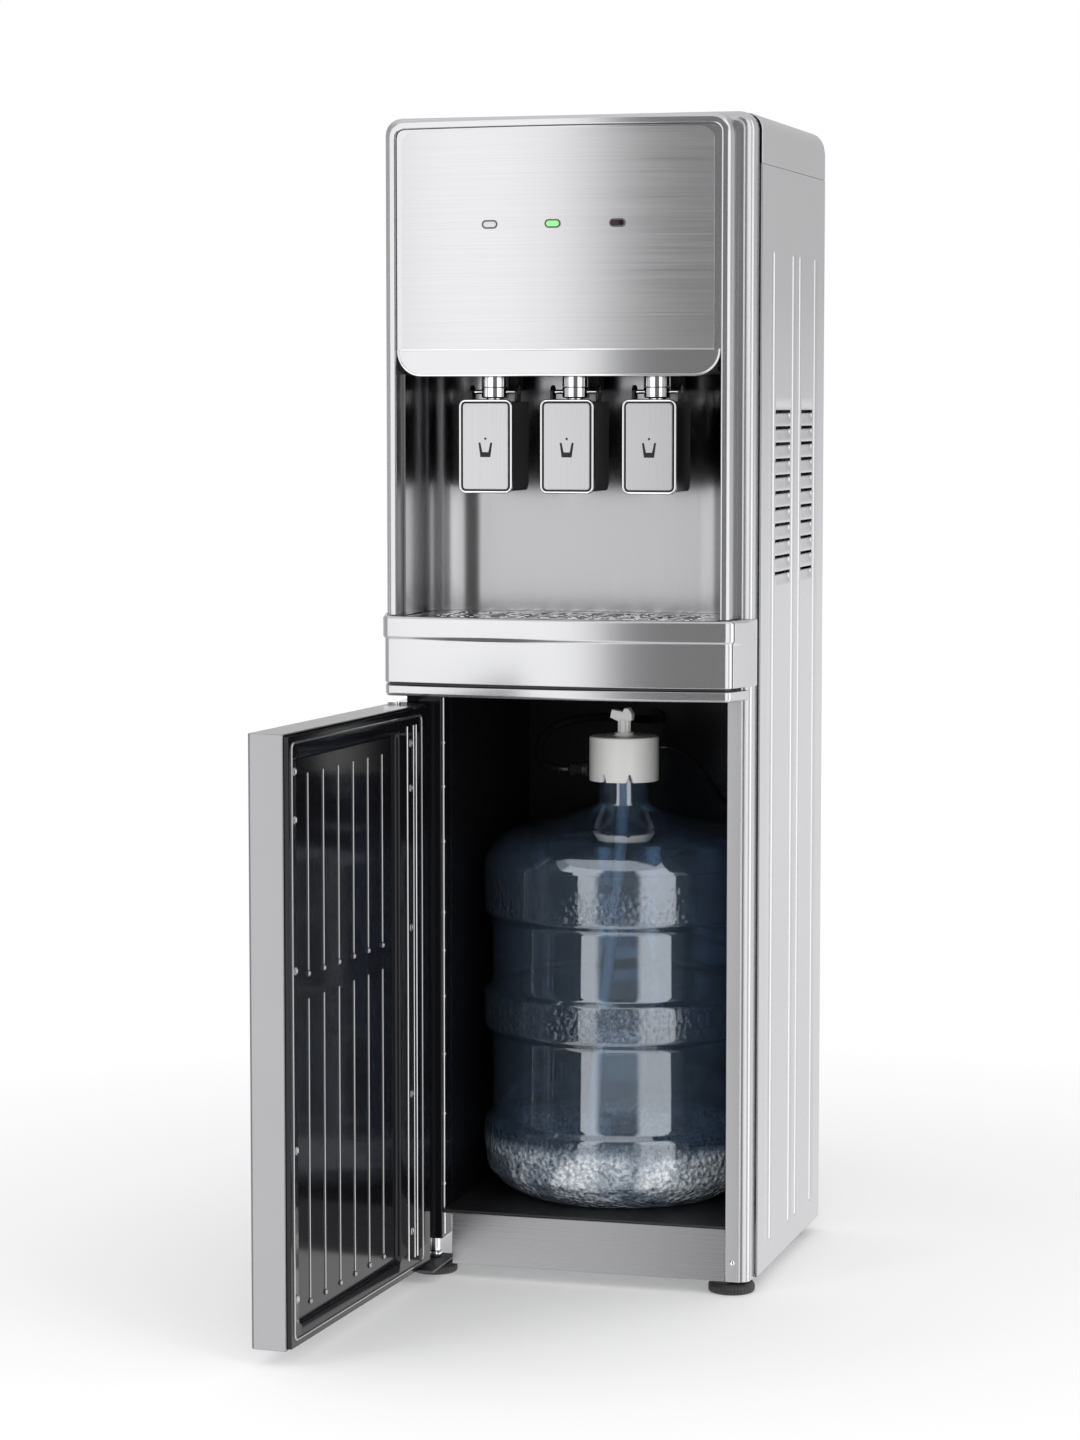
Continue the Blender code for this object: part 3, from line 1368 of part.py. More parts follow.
def make_hinges():
    """The brackets that hold the door's pins under the strip and under the left post."""
    pin_at = (HINGE_X, behind(HINGE_DEPTH), 0)
    low = DOOR_LOW - SEAT_GAP - BRACKET_SHEET
    lower = box(
        "lower_hinge",
        CHROME,
        (HINGE_X - BRACKET_REACH_LEFT, behind(HINGE_DEPTH - BRACKET_REACH_FRONT), low),
        (HINGE_X + BRACKET_REACH_RIGHT, behind(FRONT_FOOT_DEPTH + BRACKET_REACH_BACK), low + BRACKET_SHEET),
    )
    root = low + BRACKET_SHEET / 2
    pin = cylinder("pin", None, HINGE_PIN_RADIUS, root, DOOR_LOW + HINGE_PIN_LENGTH, pin_at)
    stud_at = (LEFT_FOOT_X, behind(FRONT_FOOT_DEPTH), 0)
    hole = cylinder("hole", None, STUD_RADIUS + STUD_HOLE_CLEARANCE, 0, JAMB_LOW, stud_at)
    combine(lower, "UNION", pin)
    combine(lower, "DIFFERENCE", hole)
    upper = box(
        "upper_hinge",
        CHROME,
        (HINGE_X - BLOCK_HALF, behind(HINGE_DEPTH - BLOCK_HALF / 2), BRACKET_TOP - BLOCK_HEIGHT),
        (HINGE_X + BLOCK_HALF, behind(-SEAT_GAP), BRACKET_TOP),
    )
    root = BRACKET_TOP - BLOCK_HEIGHT / 2
    pin = cylinder("pin", None, HINGE_PIN_RADIUS, DOOR_TOP - HINGE_PIN_LENGTH, root, pin_at)
    return combine(upper, "UNION", pin)


def inset(profile, wall):
    """The inner line of a turned wall, the same distance from its outer line everywhere."""
    normals = []
    for (r1, h1), (r2, h2) in zip(profile, profile[1:]):
        length = math.hypot(r2 - r1, h2 - h1)
        normals.append(((h1 - h2) / length, (r2 - r1) / length))
    inner = []
    for (radius, height), before, after in zip(profile, normals[:1] + normals, normals + normals[-1:]):
        across = (before[0] + after[0], before[1] + after[1])
        reach = wall * 2 / (across[0] ** 2 + across[1] ** 2)
        inner.append((max(radius + across[0] * reach, 0), height + across[1] * reach))
    return inner


def bottle_profile():
    """The bottle's outer line, from the middle of its base up to its mouth, as (radius, height)."""
    ring = BOTTLE_RADIUS
    waist = BOTTLE_WAIST
    return [
        (0, PUSH_IN),
        (BASE_FLAT / 2, PUSH_IN),
        (BASE_FLAT * BASE_RIM_SHARE, 0),
        (BASE_FLAT, 0),
        ((BASE_FLAT + ring) / 2, BASE_RING_LOW * BASE_TURN_SHARE),
        (ring * BASE_SIDE_SHARES[0], BASE_RING_LOW * BASE_SIDE_SHARES[1]),
        (ring, BASE_RING_LOW),
        (ring, BASE_RING_TOP - RING_SLOPE),
        (waist, BASE_RING_TOP),
        (waist, MIDDLE_RING_LOW - RING_SLOPE),
        (ring, MIDDLE_RING_LOW),
        (ring, MIDDLE_RING_TOP - RING_SLOPE),
        (waist, MIDDLE_RING_TOP),
        (waist, TOP_RING_LOW - RING_SLOPE),
        (ring, TOP_RING_LOW),
        (ring, TOP_RING_TOP - RING_SLOPE),
        *[(ring * out, TOP_RING_TOP + SHOULDER_RISE * up) for out, up in SHOULDER_SHARES],
        (BOTTLE_SHOULDER, TOP_RING_TOP + SHOULDER_RISE),
        (BOTTLE_NECK * NECK_ROOT_SHARES[0], TOP_RING_TOP + NECK_RISE * NECK_ROOT_SHARES[1]),
        (BOTTLE_NECK, TOP_RING_TOP + NECK_RISE),
        (BOTTLE_NECK, MOUTH_HEIGHT),
    ]


def make_bottle():
    """The bottle with its three raised rings, hollow and open at the mouth."""
    outer = bottle_profile()
    profile = outer + inset(outer, BOTTLE_WALL)[::-1]
    centre = (BOTTLE_X, behind(BOTTLE_DEPTH), BOTTLE_LOW)
    return lathe("water_bottle", BLUE_CLEAR, profile, centre, segments=BOTTLE_STEPS)


def make_probe():
    """Cap over the mouth with its stem and clip, the tube down the bottle, and the hose connector."""
    centre = (BOTTLE_X, behind(BOTTLE_DEPTH), 0)
    inner = BOTTLE_NECK + CAP_CLEARANCE
    roof = MOUTH_Z + SEAT_GAP
    flange_top = CAP_TOP + STEM_FLANGE_HEIGHT
    profile = (
        (0, roof),
        (inner, roof),
        (inner, CAP_LOW),
        (CAP_RADIUS, CAP_LOW),
        (CAP_RADIUS, CAP_TOP - CAP_ROUND),
        (CAP_RADIUS - CAP_ROUND, CAP_TOP),
        (STEM_FLANGE, CAP_TOP),
        (STEM_FLANGE, flange_top),
        (STEM_RADIUS, flange_top),
        (STEM_RADIUS, STEM_TOP),
        (0, STEM_TOP),
    )
    cap = lathe("probe_cap", WHITE_PLASTIC, profile, centre)
    clip_low = STEM_TOP - CLIP_SEAT
    clip = box(
        "clip",
        None,
        (BOTTLE_X - CLIP_LENGTH * CLIP_LEFT_SHARE, centre[1] - CLIP_WIDTH / 2, clip_low),
        (BOTTLE_X + CLIP_LENGTH * (1 - CLIP_LEFT_SHARE), centre[1] + CLIP_WIDTH / 2, clip_low + CLIP_HEIGHT),
    )
    combine(cap, "UNION", clip)
    start = -CAP_RADIUS - SEAT_GAP
    cylinder(
        "hose_connector",
        BLACK_PLASTIC,
        CONNECTOR_RADIUS,
        start - CONNECTOR_LENGTH,
        start,
        (BOTTLE_X, behind(BOTTLE_DEPTH - CONNECTOR_SHIFT), CONNECTOR_Z),
        "x",
    )
    make_intake_tube(roof - RUNNING_GAP)


def make_intake_tube(top):
    """The tube inside the bottle, leaning to the left towards its foot."""
    low = BOTTLE_LOW + PUSH_IN + BOTTLE_WALL + TUBE_END
    points = []
    for step in range(TUBE_POINTS + 1):
        along = step / TUBE_POINTS
        lean = TUBE_LEAN * (1 - math.cos(math.pi * along)) / 2
        points.append((BOTTLE_X - lean, behind(BOTTLE_DEPTH), top + (low - top) * along))
    return tube("intake_tube", PALE_TUBE, points, TUBE_RADIUS, HOSE_SIDES)


def smooth_route(route, spacing):
    """Evenly spaced points on a smooth curve through a route's own points."""
    padded = [route[0], *route, route[-1]]
    fine = [Vector(route[0])]
    for a, b, c, d in zip(padded, padded[1:], padded[2:], padded[3:]):
        a, b, c, d = Vector(a), Vector(b), Vector(c), Vector(d)
        for step in range(1, ROUTE_SAMPLES + 1):
            t = step / ROUTE_SAMPLES
            curved = (a * 2 - b * 5 + c * 4 - d) * t**2 + (b * 3 - a - c * 3 + d) * t**3
            fine.append(b + ((c - a) * t + curved) / 2)
    lengths = [0]
    for here, there in zip(fine, fine[1:]):
        lengths.append(lengths[-1] + (there - here).length)
    count = round(lengths[-1] / spacing)
    points = []
    index = 0
    for step in range(count + 1):
        wanted = lengths[-1] * step / count
        while index < len(lengths) - 2 and lengths[index + 1] < wanted:
            index += 1
        part = (wanted - lengths[index]) / (lengths[index + 1] - lengths[index])
        points.append(fine[index].lerp(fine[index + 1], min(part, 1)))
    return points


def tube(name, finish, points, radius, sides):
    """A round tube along points, capped at both ends."""
    curve = bpy.data.curves.new(name, "CURVE")
    curve.dimensions = "3D"
    spline = curve.splines.new("POLY")
    spline.points.add(len(points) - 1)
    for target, point in zip(spline.points, points):
        target.co = (*point, 1)
    curve.bevel_depth = radius
    curve.bevel_resolution = sides
    curve.use_fill_caps = True
    return place(name, curve, finish)


def make_lines():
    """The suction hose and the sensor cable from the probe to the bay's back wall."""
    for name, route, radius, spacing in (
        ("suction_hose", HOSE_ROUTE, HOSE_RADIUS, HOSE_SPACING),
        ("sensor_cable", CABLE_ROUTE, CABLE_RADIUS, CABLE_SPACING),
    ):
        world = [(x, behind(depth), z) for x, depth, z in route]
        tube(name, BLACK_PLASTIC, smooth_route(world, spacing), radius, HOSE_SIDES)


def make_cooling():
    """Compressor and pump on the deck, tanks on their shelf, condenser in the back panel's recess."""
    floor = DECK_TOP + SEAT_GAP
    compressor_x = COMPRESSOR_CLEARANCE - COMPRESSOR_RADIUS
    make_can("compressor", DARK_PAINT, compressor_x, COMPRESSOR_RADIUS, floor, COMPRESSOR_HEIGHT)
    shelf = CEILING_LOW + CEILING_SHEET + SEAT_GAP
    make_can("cold_tank", GALVANISED, -COLD_CLEARANCE - COLD_RADIUS, COLD_RADIUS, shelf, COLD_HEIGHT)
    make_can("hot_tank", BRUSHED_STEEL, HOT_CLEARANCE + HOT_RADIUS, HOT_RADIUS, shelf, HOT_HEIGHT)
    y = behind(COOLING_DEPTH)
    top = arc((y, floor + PUMP_RADIUS), PUMP_RADIUS, 0, 180, HALF_ROUND_STEPS)
    outline = [(y + PUMP_RADIUS, floor), *top, (y - PUMP_RADIUS, floor)]
    side = INSIDE - PUMP_INSET
    prism("water_pump", DARK_PAINT, outline, side - PUMP_LENGTH, side, "x")
    y = behind(BACK_OUTER - RECESS_DEPTH + SEAT_GAP + CONDENSER_TUBE)
    points = []
    for run in range(CONDENSER_RUNS):
        z = CONDENSER_LOW + run * CONDENSER_PITCH
        side = 1 if run % 2 else -1
        points += [(side * CONDENSER_HALF, y, z), (-side * CONDENSER_HALF, y, z)]
        if run < CONDENSER_RUNS - 1:
            centre = (CONDENSER_HALF, z + CONDENSER_PITCH / 2)
            bend = arc(centre, CONDENSER_PITCH / 2, 270, 450, BEND_STEPS + 1)[1:-1]
            points += [(-side * x, y, height) for x, height in bend]
    tube("condenser", DARK_PAINT, points, CONDENSER_TUBE, 1)


def make_can(name, finish, x, radius, floor, height):
    """A round tank with a domed lid."""
    profile = (
        (0, floor),
        (radius, floor),
        (radius, floor + height - DOME_RISE),
        (radius * DOME_SHARES[0], floor + height - DOME_RISE * DOME_SHARES[1]),
        (0, floor + height),
    )
    return lathe(name, finish, profile, (x, behind(COOLING_DEPTH), 0))


def main():
    clear_scene()
    make_front_frame()
    make_bezel()
    make_head_front()
    make_control_panel()
    make_indicators()
    make_control_board()
    make_alcove_liner()
    make_tank_shelf()
    for number in (1, 2, 3):
        make_tap(number)
        make_lever(number)
    make_band()
    make_tray_deck()
    make_drip_tray()
    make_drip_grille()
    make_side_panel("side_panel_left", -1)
    make_side_panel("side_panel_right", 1)
    make_top_cover()
    make_back_panel()
    make_switches()
    make_power_inlet()
    make_base()
    make_bay()
    make_door()
    make_hinges()
    make_bottle()
    make_probe()
    make_lines()
    make_cooling()


main()
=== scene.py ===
"""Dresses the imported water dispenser: finer surfaces round its frame, procedural finishes, stage and camera.

Metres, +Z up, the front faces -Y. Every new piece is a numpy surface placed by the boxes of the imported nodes,
and rides on the body of the node that it stands for.
"""

import json
import logging
import math
from dataclasses import dataclass
from enum import Enum
from typing import Callable, Optional, Sequence

import bmesh
import bpy
import numpy as np
from mathutils import Matrix, Vector

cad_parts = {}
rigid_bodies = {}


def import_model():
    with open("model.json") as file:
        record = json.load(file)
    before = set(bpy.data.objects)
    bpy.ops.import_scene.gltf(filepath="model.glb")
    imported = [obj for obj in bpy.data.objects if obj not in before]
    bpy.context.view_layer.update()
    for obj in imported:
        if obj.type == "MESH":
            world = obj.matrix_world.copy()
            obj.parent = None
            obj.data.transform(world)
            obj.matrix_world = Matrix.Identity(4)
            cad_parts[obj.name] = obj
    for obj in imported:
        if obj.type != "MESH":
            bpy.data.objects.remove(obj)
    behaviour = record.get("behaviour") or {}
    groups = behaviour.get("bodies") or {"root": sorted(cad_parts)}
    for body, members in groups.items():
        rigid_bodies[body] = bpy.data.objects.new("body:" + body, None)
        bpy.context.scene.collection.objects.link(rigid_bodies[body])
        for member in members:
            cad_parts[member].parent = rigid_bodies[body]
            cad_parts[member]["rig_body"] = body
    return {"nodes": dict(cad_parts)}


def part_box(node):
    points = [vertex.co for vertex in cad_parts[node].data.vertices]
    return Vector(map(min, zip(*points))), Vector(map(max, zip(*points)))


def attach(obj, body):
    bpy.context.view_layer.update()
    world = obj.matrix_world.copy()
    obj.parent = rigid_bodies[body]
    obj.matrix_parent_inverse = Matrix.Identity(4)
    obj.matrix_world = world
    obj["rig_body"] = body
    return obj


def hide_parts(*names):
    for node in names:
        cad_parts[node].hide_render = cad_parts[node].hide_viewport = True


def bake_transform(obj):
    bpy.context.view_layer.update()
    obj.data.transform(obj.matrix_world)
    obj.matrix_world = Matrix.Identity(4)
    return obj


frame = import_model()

LOG = logging.getLogger("dispenser")
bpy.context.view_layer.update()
Array = np.ndarray
Colour = Point = tuple[float, float, float]
Span = tuple[float, float]
Socket = bpy.types.NodeSocket
Put = Callable[[Array, Array, Array], Array]
WHITE = (1, 1, 1, 1)
ALONG_Y = (0, 1, 0)
UP = (0, 0, 1)

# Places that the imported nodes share: the front plane, the feet's discs and the bowed front's parabola
FRONT_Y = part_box("front_frame")[0].y
FOOT_TOP = 0.0100
BOW_RISE = 0.0140
BOW_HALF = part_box("head_bezel")[1].x

# How near two points, or how flat two faces, have to be to become one
SAME_POINT = 1e-6
SAME_CORNER = 1e-5
FLAT_ENOUGH = math.radians(0.1)


def behind(depth: float) -> float:
    """World Y of a depth behind the cabinet's front plane."""
    return FRONT_Y + depth


def box_of(node: str) -> tuple[Vector, Vector, Point]:
    """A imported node's lowest and highest corners and the middle between them."""
    low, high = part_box(node)
    return low, high, tuple((start + end) / 2 for start, end in zip(low, high))


def linked(name: str, data: bpy.types.ID) -> bpy.types.Object:
    """A new object of the scene.

    Args:
        name: its name.
        data: its mesh, light or camera.

    Returns:
        The object.
    """
    piece = bpy.data.objects.new(name, data)
    bpy.context.scene.collection.objects.link(piece)
    return piece


def read(items: bpy.types.bpy_prop_collection, name: str, width: int = 1, kind: type = np.float32) -> Array:
    """One property of every item of a mesh.

    Args:
        items: the mesh's vertices, faces or corners.
        name: the property.
        width: numbers for each item.
        kind: their type.

    Returns:
        A row for each item, or plain numbers where the width is 1.
    """
    values = np.empty(len(items) * width, kind)
    items.foreach_get(name, values)
    return values.reshape(-1, width) if width > 1 else values


class Shade(Enum):
    """The angle from which an edge shows as sharp."""

    CRISP = 25.0
    SOFT = 50.0
    ROUND = 180.0


# Node building


class Nodes:
    """A material's or world's node tree, filled one node at a time."""

    def __init__(self, owner: bpy.types.Material | bpy.types.World) -> None:
        """Turns the nodes on and empties them.

        Args:
            owner: the material or world.
        """
        owner.use_nodes = True
        self.tree = owner.node_tree
        self.tree.nodes.clear()

    def add(self, kind: str, **settings: object) -> bpy.types.Node:
        """One node with its settings.

        Args:
            kind: the node's type name without its ShaderNode prefix.
            settings: attributes of the node.

        Returns:
            The new node.
        """
        node = self.tree.nodes.new("ShaderNode" + kind)
        for name, value in settings.items():
            setattr(node, name, value)
        return node

    def fill(self, node: bpy.types.Node, *first: object, **named: object) -> Optional[Socket]:
        """Sets a node's sockets to plain values or links them to other sockets.

        Args:
            node: the node to fill.
            first: values or source sockets of its first sockets in order.
            named: the same by socket name, with underscores for spaces.

        Returns:
            The node's first output, or None for a node without one.
        """
        for key, value in (*enumerate(first), *named.items()):
            socket = node.inputs[key.replace("_", " ") if isinstance(key, str) else key]
            if isinstance(value, Socket):
                self.tree.links.new(value, socket)
            else:
                socket.default_value = value
        return node.outputs[0] if node.outputs else None

    def make(self, kind: str, *first: object, **named: object) -> Optional[Socket]:
        """The first output of a new node, whose sockets are filled as fill does."""
        return self.fill(self.add(kind), *first, **named)

    def place(self, scale: Point) -> Socket:
        """Object coordinates in cycles per metre along each axis."""
        return self.make("Mapping", self.add("TexCoord").outputs["Object"], Scale=scale)

    def noise(self, scale: Point, detail: float = 2.0, roughness: float = 0.5) -> Socket:
        """A noise factor from 0 to 1: the scale in cycles per metre, its octaves, and the fine octaves' share."""
        return self.make("TexNoise", self.place(scale), Scale=1.0, Detail=detail, Roughness=roughness)

    def spread(self, value: Socket, low: float, high: float, start: float = 0.3, end: float = 0.7) -> Socket:
        """A value mapped from start and end to low and high, and held between them."""
        node = self.add("MapRange", clamp=True)
        return self.fill(node, Value=value, From_Min=start, From_Max=end, To_Min=low, To_Max=high)

    def times(self, first: Socket, second: Socket) -> Socket:
        """The product of two factors."""
        return self.fill(self.add("Math", operation="MULTIPLY"), first, second)

    def tint(self, value: Socket, first: Colour, second: Colour) -> Socket:
        """A colour between two, by a factor.

        Args:
            value: the factor.
            first: colour at 0.
            second: colour at 1.

        Returns:
            The colour socket.
        """
        node = self.add("Mix", data_type="RGBA")
        self.fill(node, value)
        node.inputs[6].default_value, node.inputs[7].default_value = (*first, 1), (*second, 1)
        return node.outputs[2]

    def bump(self, height: Socket, distance: float, **rest: object) -> Socket:
        """A normal bent by a height factor, whose distance is its metres from 0 to 1."""
        return self.make("Bump", Height=height, Distance=distance, **rest)


# Finishes


@dataclass(frozen=True)
class Finish:
    """A surface finish worked out from noise along the object's own axes.

    The mottle changes the colour slowly, the grain changes roughness and height finely. The slot, the record's
    material slot where it isn't the finish's own name, is not used.
    """

    name: str
    colour: Colour
    second: Colour
    roughness: Span
    metallic: float = 0.0
    slot: str = ""
    mottle: Point = (6.0, 6.0, 6.0)
    grain: Point = (900.0, 900.0, 900.0)
    height: float = 0.0
    coat: float = 0.0
    coat_roughness: float = 0.03
    specular: float = 0.5

    def build(self) -> bpy.types.Material:
        """The material, made once and shared.

        Returns:
            The material of this name.
        """
        name = self.name + "_finish"
        if name in bpy.data.materials:
            return bpy.data.materials[name]
        material = bpy.data.materials.new(name)
        nodes = Nodes(material)
        shader = nodes.add("BsdfPrincipled")
        nodes.make("OutputMaterial", shader.outputs[0])
        slow, fine = nodes.noise(self.mottle, 3.0), nodes.noise(self.grain, 3.0, 0.6)
        nodes.fill(shader, Base_Color=nodes.tint(slow, self.colour, self.second),
                   Roughness=nodes.spread(fine, *self.roughness), Metallic=self.metallic, Coat_Weight=self.coat,
                   Coat_Roughness=self.coat_roughness, Specular_IOR_Level=self.specular)
        if self.height:
            nodes.fill(shader, Normal=nodes.bump(fine, self.height))
        self.extend(nodes, shader)
        return material

    def extend(self, nodes: Nodes, shader: bpy.types.Node) -> None:
        """Nothing more for a plain finish."""


@dataclass(frozen=True)
class Streaked(Finish):
    """Brushed metal: fine straight streaks in colour, roughness and height."""

    streak: Point = (2.5, 40.0, 900.0)

    def extend(self, nodes: Nodes, shader: bpy.types.Node) -> None:
        """Adds the streaks.

        Args:
            nodes: the material's tree.
            shader: its shader.
        """
        lines = nodes.noise(self.streak, 2.0, 0.7)
        nodes.fill(shader, Roughness=nodes.spread(lines, *self.roughness),
                   Base_Color=nodes.tint(nodes.spread(lines, 0.0, 1.0, 0.2, 0.8), self.colour, self.second),
                   Normal=nodes.bump(lines, self.height))


@dataclass(frozen=True)
class PolishedCheeksShadedBack(Finish):
    """Sheet metal polished in front and brushed on its back wall by depth, which painted shade darkens."""

    polished_unshaded_until: float = 0.030
    brushed_shaded_from: float = 0.085
    polish: float = 0.13
    brush: Point = (1300.0, 1300.0, 12.0)

    def extend(self, nodes: Nodes, shader: bpy.types.Node) -> None:
        """Adds the change of roughness with depth, and the painted shade that darkens the colour towards the back.

        Args:
            nodes: the material's tree.
            shader: its shader.
        """
        place = nodes.add("SeparateXYZ")
        nodes.fill(place, nodes.place((1, 1, 1)))
        share = nodes.spread(place.outputs["Y"], 0.0, 1.0, behind(self.polished_unshaded_until), behind(self.brushed_shaded_from))
        rough = nodes.spread(nodes.noise(self.brush, 2.0, 0.6), *self.roughness)
        mixer = nodes.add("Mix", data_type="FLOAT")
        mixed = nodes.fill(mixer, share)
        mixer.inputs[2].default_value = self.polish
        nodes.tree.links.new(rough, mixer.inputs[3])
        # Painted shade: the colour is bright at the cheeks and dark on the back wall, deep in the alcove
        nodes.fill(shader, Roughness=mixed, Base_Color=nodes.tint(share, self.second, self.colour))


@dataclass(frozen=True)
class ClearBlue(Finish):
    """Clear blue polycarbonate: smooth at the waists, hammered and frosted where the attribute says so."""

    attribute: str = "hammered"
    beads: float = 190.0
    waves: float = 70.0
    see_through: float = 0.96
    patches: float = 260.0
    clouds: float = 26.0
    frost_edge: Span = (0.30, 0.58)
    frosted: float = 0.35
    frost: Colour = (0.90, 0.94, 0.98)
    bead_height: float = 0.0012
    wave_height: float = 0.0004
    wave_strength: float = 0.35
    index: float = 1.585
    coat_index: float = 1.9

    def extend(self, nodes: Nodes, shader: bpy.types.Node) -> None:
        """Adds transmission, the hammered relief and the frosting.

        Args:
            nodes: the material's tree.
            shader: its shader.
        """
        mask = nodes.add("Attribute", attribute_name=self.attribute).outputs["Fac"]
        cells = nodes.fill(nodes.add("TexVoronoi", feature="SMOOTH_F1"), Vector=nodes.place((self.beads,) * 3),
                           Scale=1.0, Smoothness=0.5)
        relief = nodes.times(nodes.spread(cells, 1.0, 0.0, 0.1, 0.8), mask)
        soft = nodes.bump(nodes.noise((self.waves,) * 3), self.wave_height, Strength=self.wave_strength)
        patches = nodes.spread(nodes.noise((self.patches,) * 3, 3.0, 0.7), 0.0, 1.0, *self.frost_edge)
        clouds = nodes.spread(nodes.noise((self.clouds,) * 3), 0.35, 1.0, 0.36, 0.54)
        frost = nodes.times(nodes.times(patches, clouds), nodes.spread(mask, 0.0, 1.0, 1.0, 2.0))
        clear = nodes.spread(frost, self.see_through, self.frosted, 0.0, 1.0)
        nodes.fill(shader, Normal=nodes.bump(relief, self.bead_height, Normal=soft), Transmission_Weight=clear,
                   Base_Color=nodes.tint(frost, self.colour, self.frost), IOR=self.index, Coat_IOR=self.coat_index)


@dataclass(frozen=True)
class Lens(Finish):
    """A small moulded lens, lit from behind or not."""

    glow: float = 0.0

    def extend(self, nodes: Nodes, shader: bpy.types.Node) -> None:
        """Adds the glow."""
        nodes.fill(shader, Emission_Color=(*self.second, 1), Emission_Strength=self.glow)


@dataclass(frozen=True)
class Pierced(Finish):
    """Polished sheet with a small pressed pattern of sunk curls, darkened where sunk as painted shade."""

    curl: Point = (190.0, 34.0, 60.0)
    depth: float = 0.0016

    def extend(self, nodes: Nodes, shader: bpy.types.Node) -> None:
        """Adds the pressed pattern and its painted shade."""
        # Painted shade: the same mask sinks the curls and darkens them
        edge = nodes.spread(nodes.noise(self.curl, 1.0, 0.4), 0.0, 1.0, 0.46, 0.54)
        nodes.fill(shader, Base_Color=nodes.tint(edge, self.colour, self.second), Normal=nodes.bump(edge, self.depth))


PAINT_GRAIN = (1500.0, 1500.0, 1500.0)
SILVER_PAINT = Finish("silver_paint", (0.47, 0.47, 0.485), (0.52, 0.52, 0.535), (0.19, 0.25), 0.9,
                      grain=PAINT_GRAIN, height=0.00001)
# Painted shade: the door's silver paint is a darker copy of silver_paint, so that the door skin catches less light
SHADED_DOOR_PAINT = Finish("shaded_door_paint", (0.29, 0.29, 0.300), (0.33, 0.33, 0.340), (0.20, 0.26), 0.9, "silver_paint",
                    grain=PAINT_GRAIN, height=0.00001)
SILVER_MOULDING = Finish("silver_moulding", (0.52, 0.52, 0.532), (0.57, 0.57, 0.582), (0.18, 0.23), 0.92)
BRUSHED_PANEL = Streaked("brushed_panel", (0.53, 0.53, 0.542), (0.64, 0.64, 0.65), (0.30, 0.37), 1.0,
                         "brushed_steel", height=0.000004, streak=(4.0, 40.0, 1400.0))
# Painted shade: a darker copy of the brushed steel, for the kick plate and the hot tank
SHADED_BRUSHED_KICK = Streaked("shaded_brushed_kick", (0.24, 0.24, 0.25), (0.32, 0.32, 0.33), (0.24, 0.36), 1.0,
                        "brushed_steel", height=0.000004, streak=(4.0, 300.0, 1400.0))
LEVER_STEEL = Streaked("lever_steel", (0.44, 0.44, 0.45), (0.52, 0.52, 0.53), (0.28, 0.36), 1.0,
                       height=0.000003, streak=(1400.0, 900.0, 8.0))
# Painted shade: the alcove sheet darkens from its bright cheeks to its back wall
ALCOVE_STEEL_SHADED_BACK = PolishedCheeksShadedBack("alcove_steel", (0.35, 0.35, 0.36), (0.86, 0.86, 0.87), (0.20, 0.23), 1.0)
CHROME = Finish("chrome", (0.80, 0.80, 0.81), (0.86, 0.86, 0.87), (0.03, 0.07), 1.0)
# Painted shade: a dark copy of chrome for the rims round the indicators
SHADED_LENS_RIM = Finish("lens_rim", (0.10, 0.10, 0.11), (0.16, 0.16, 0.17), (0.10, 0.16), 1.0, "chrome")
# Painted shade: the grille is dark where its curls are pressed in
GRILLE_SHADED_CURLS = Pierced("grille_shaded_curls", (0.02, 0.02, 0.02), (0.86, 0.86, 0.87), (0.08, 0.16), 1.0, "brushed_steel")
GALVANISED = Finish("galvanised", (0.40, 0.41, 0.42), (0.56, 0.57, 0.58), (0.3, 0.5), 0.9,
                    mottle=(70.0, 70.0, 70.0))
GLOSS_BLACK = Finish("gloss_black", (0.004, 0.004, 0.005), (0.007, 0.007, 0.009), (0.08, 0.16),
                     slot="black_gloss", specular=0.28)
SATIN_BLACK = Finish("satin_black", (0.004, 0.004, 0.005), (0.007, 0.007, 0.008), (0.25, 0.35),
                     slot="black_gloss", specular=0.15)
# Painted highlight: the door's black gloss ribs, knobs, bead and bosses are coloured metallic grey, for their
# highlight lines
RIB_PAINTED_HIGHLIGHT = Finish("rib_painted_highlight", (0.34, 0.34, 0.35), (0.46, 0.46, 0.47), (0.08, 0.14), 0.9, "black_gloss")
# Painted highlight: near-chrome for the black gloss strips by the hinge and the jamb's bead, which show as bright
# lines
PAINTED_HIGHLIGHT_EDGE = Finish("painted_highlight_edge", (0.70, 0.70, 0.71), (0.78, 0.78, 0.79), (0.06, 0.10), 1.0, "black_gloss")
GRAIN_BLACK = Finish("grain_black", (0.010, 0.010, 0.011), (0.018, 0.018, 0.020), (0.34, 0.50),
                     slot="black_plastic", height=0.00005)
MATT_BLACK = Finish("matt_black", (0.006, 0.006, 0.006), (0.010, 0.010, 0.010), (0.55, 0.75),
                    slot="black_plastic", height=0.00005)
RUBBER = Finish("rubber", (0.012, 0.012, 0.012), (0.022, 0.022, 0.022), (0.45, 0.6), slot="black_rubber",
                height=0.00004)
DARK_PAINT = Finish("dark_paint", (0.020, 0.020, 0.022), (0.035, 0.035, 0.038), (0.35, 0.5), height=0.00003)
HOSE_BLACK = Finish("hose_black", (0.004, 0.004, 0.004), (0.008, 0.008, 0.008), (0.14, 0.22))
WHITE_PLASTIC = Finish("white_plastic", (0.90, 0.90, 0.88), (0.93, 0.93, 0.91), (0.28, 0.38))
PALE_TUBE = Finish("pale_tube", (0.74, 0.76, 0.80), (0.82, 0.84, 0.88), (0.2, 0.3), slot="tube_pale")
BOARD_GREEN = Finish("board_green", (0.02, 0.13, 0.05), (0.04, 0.20, 0.08), (0.3, 0.4))
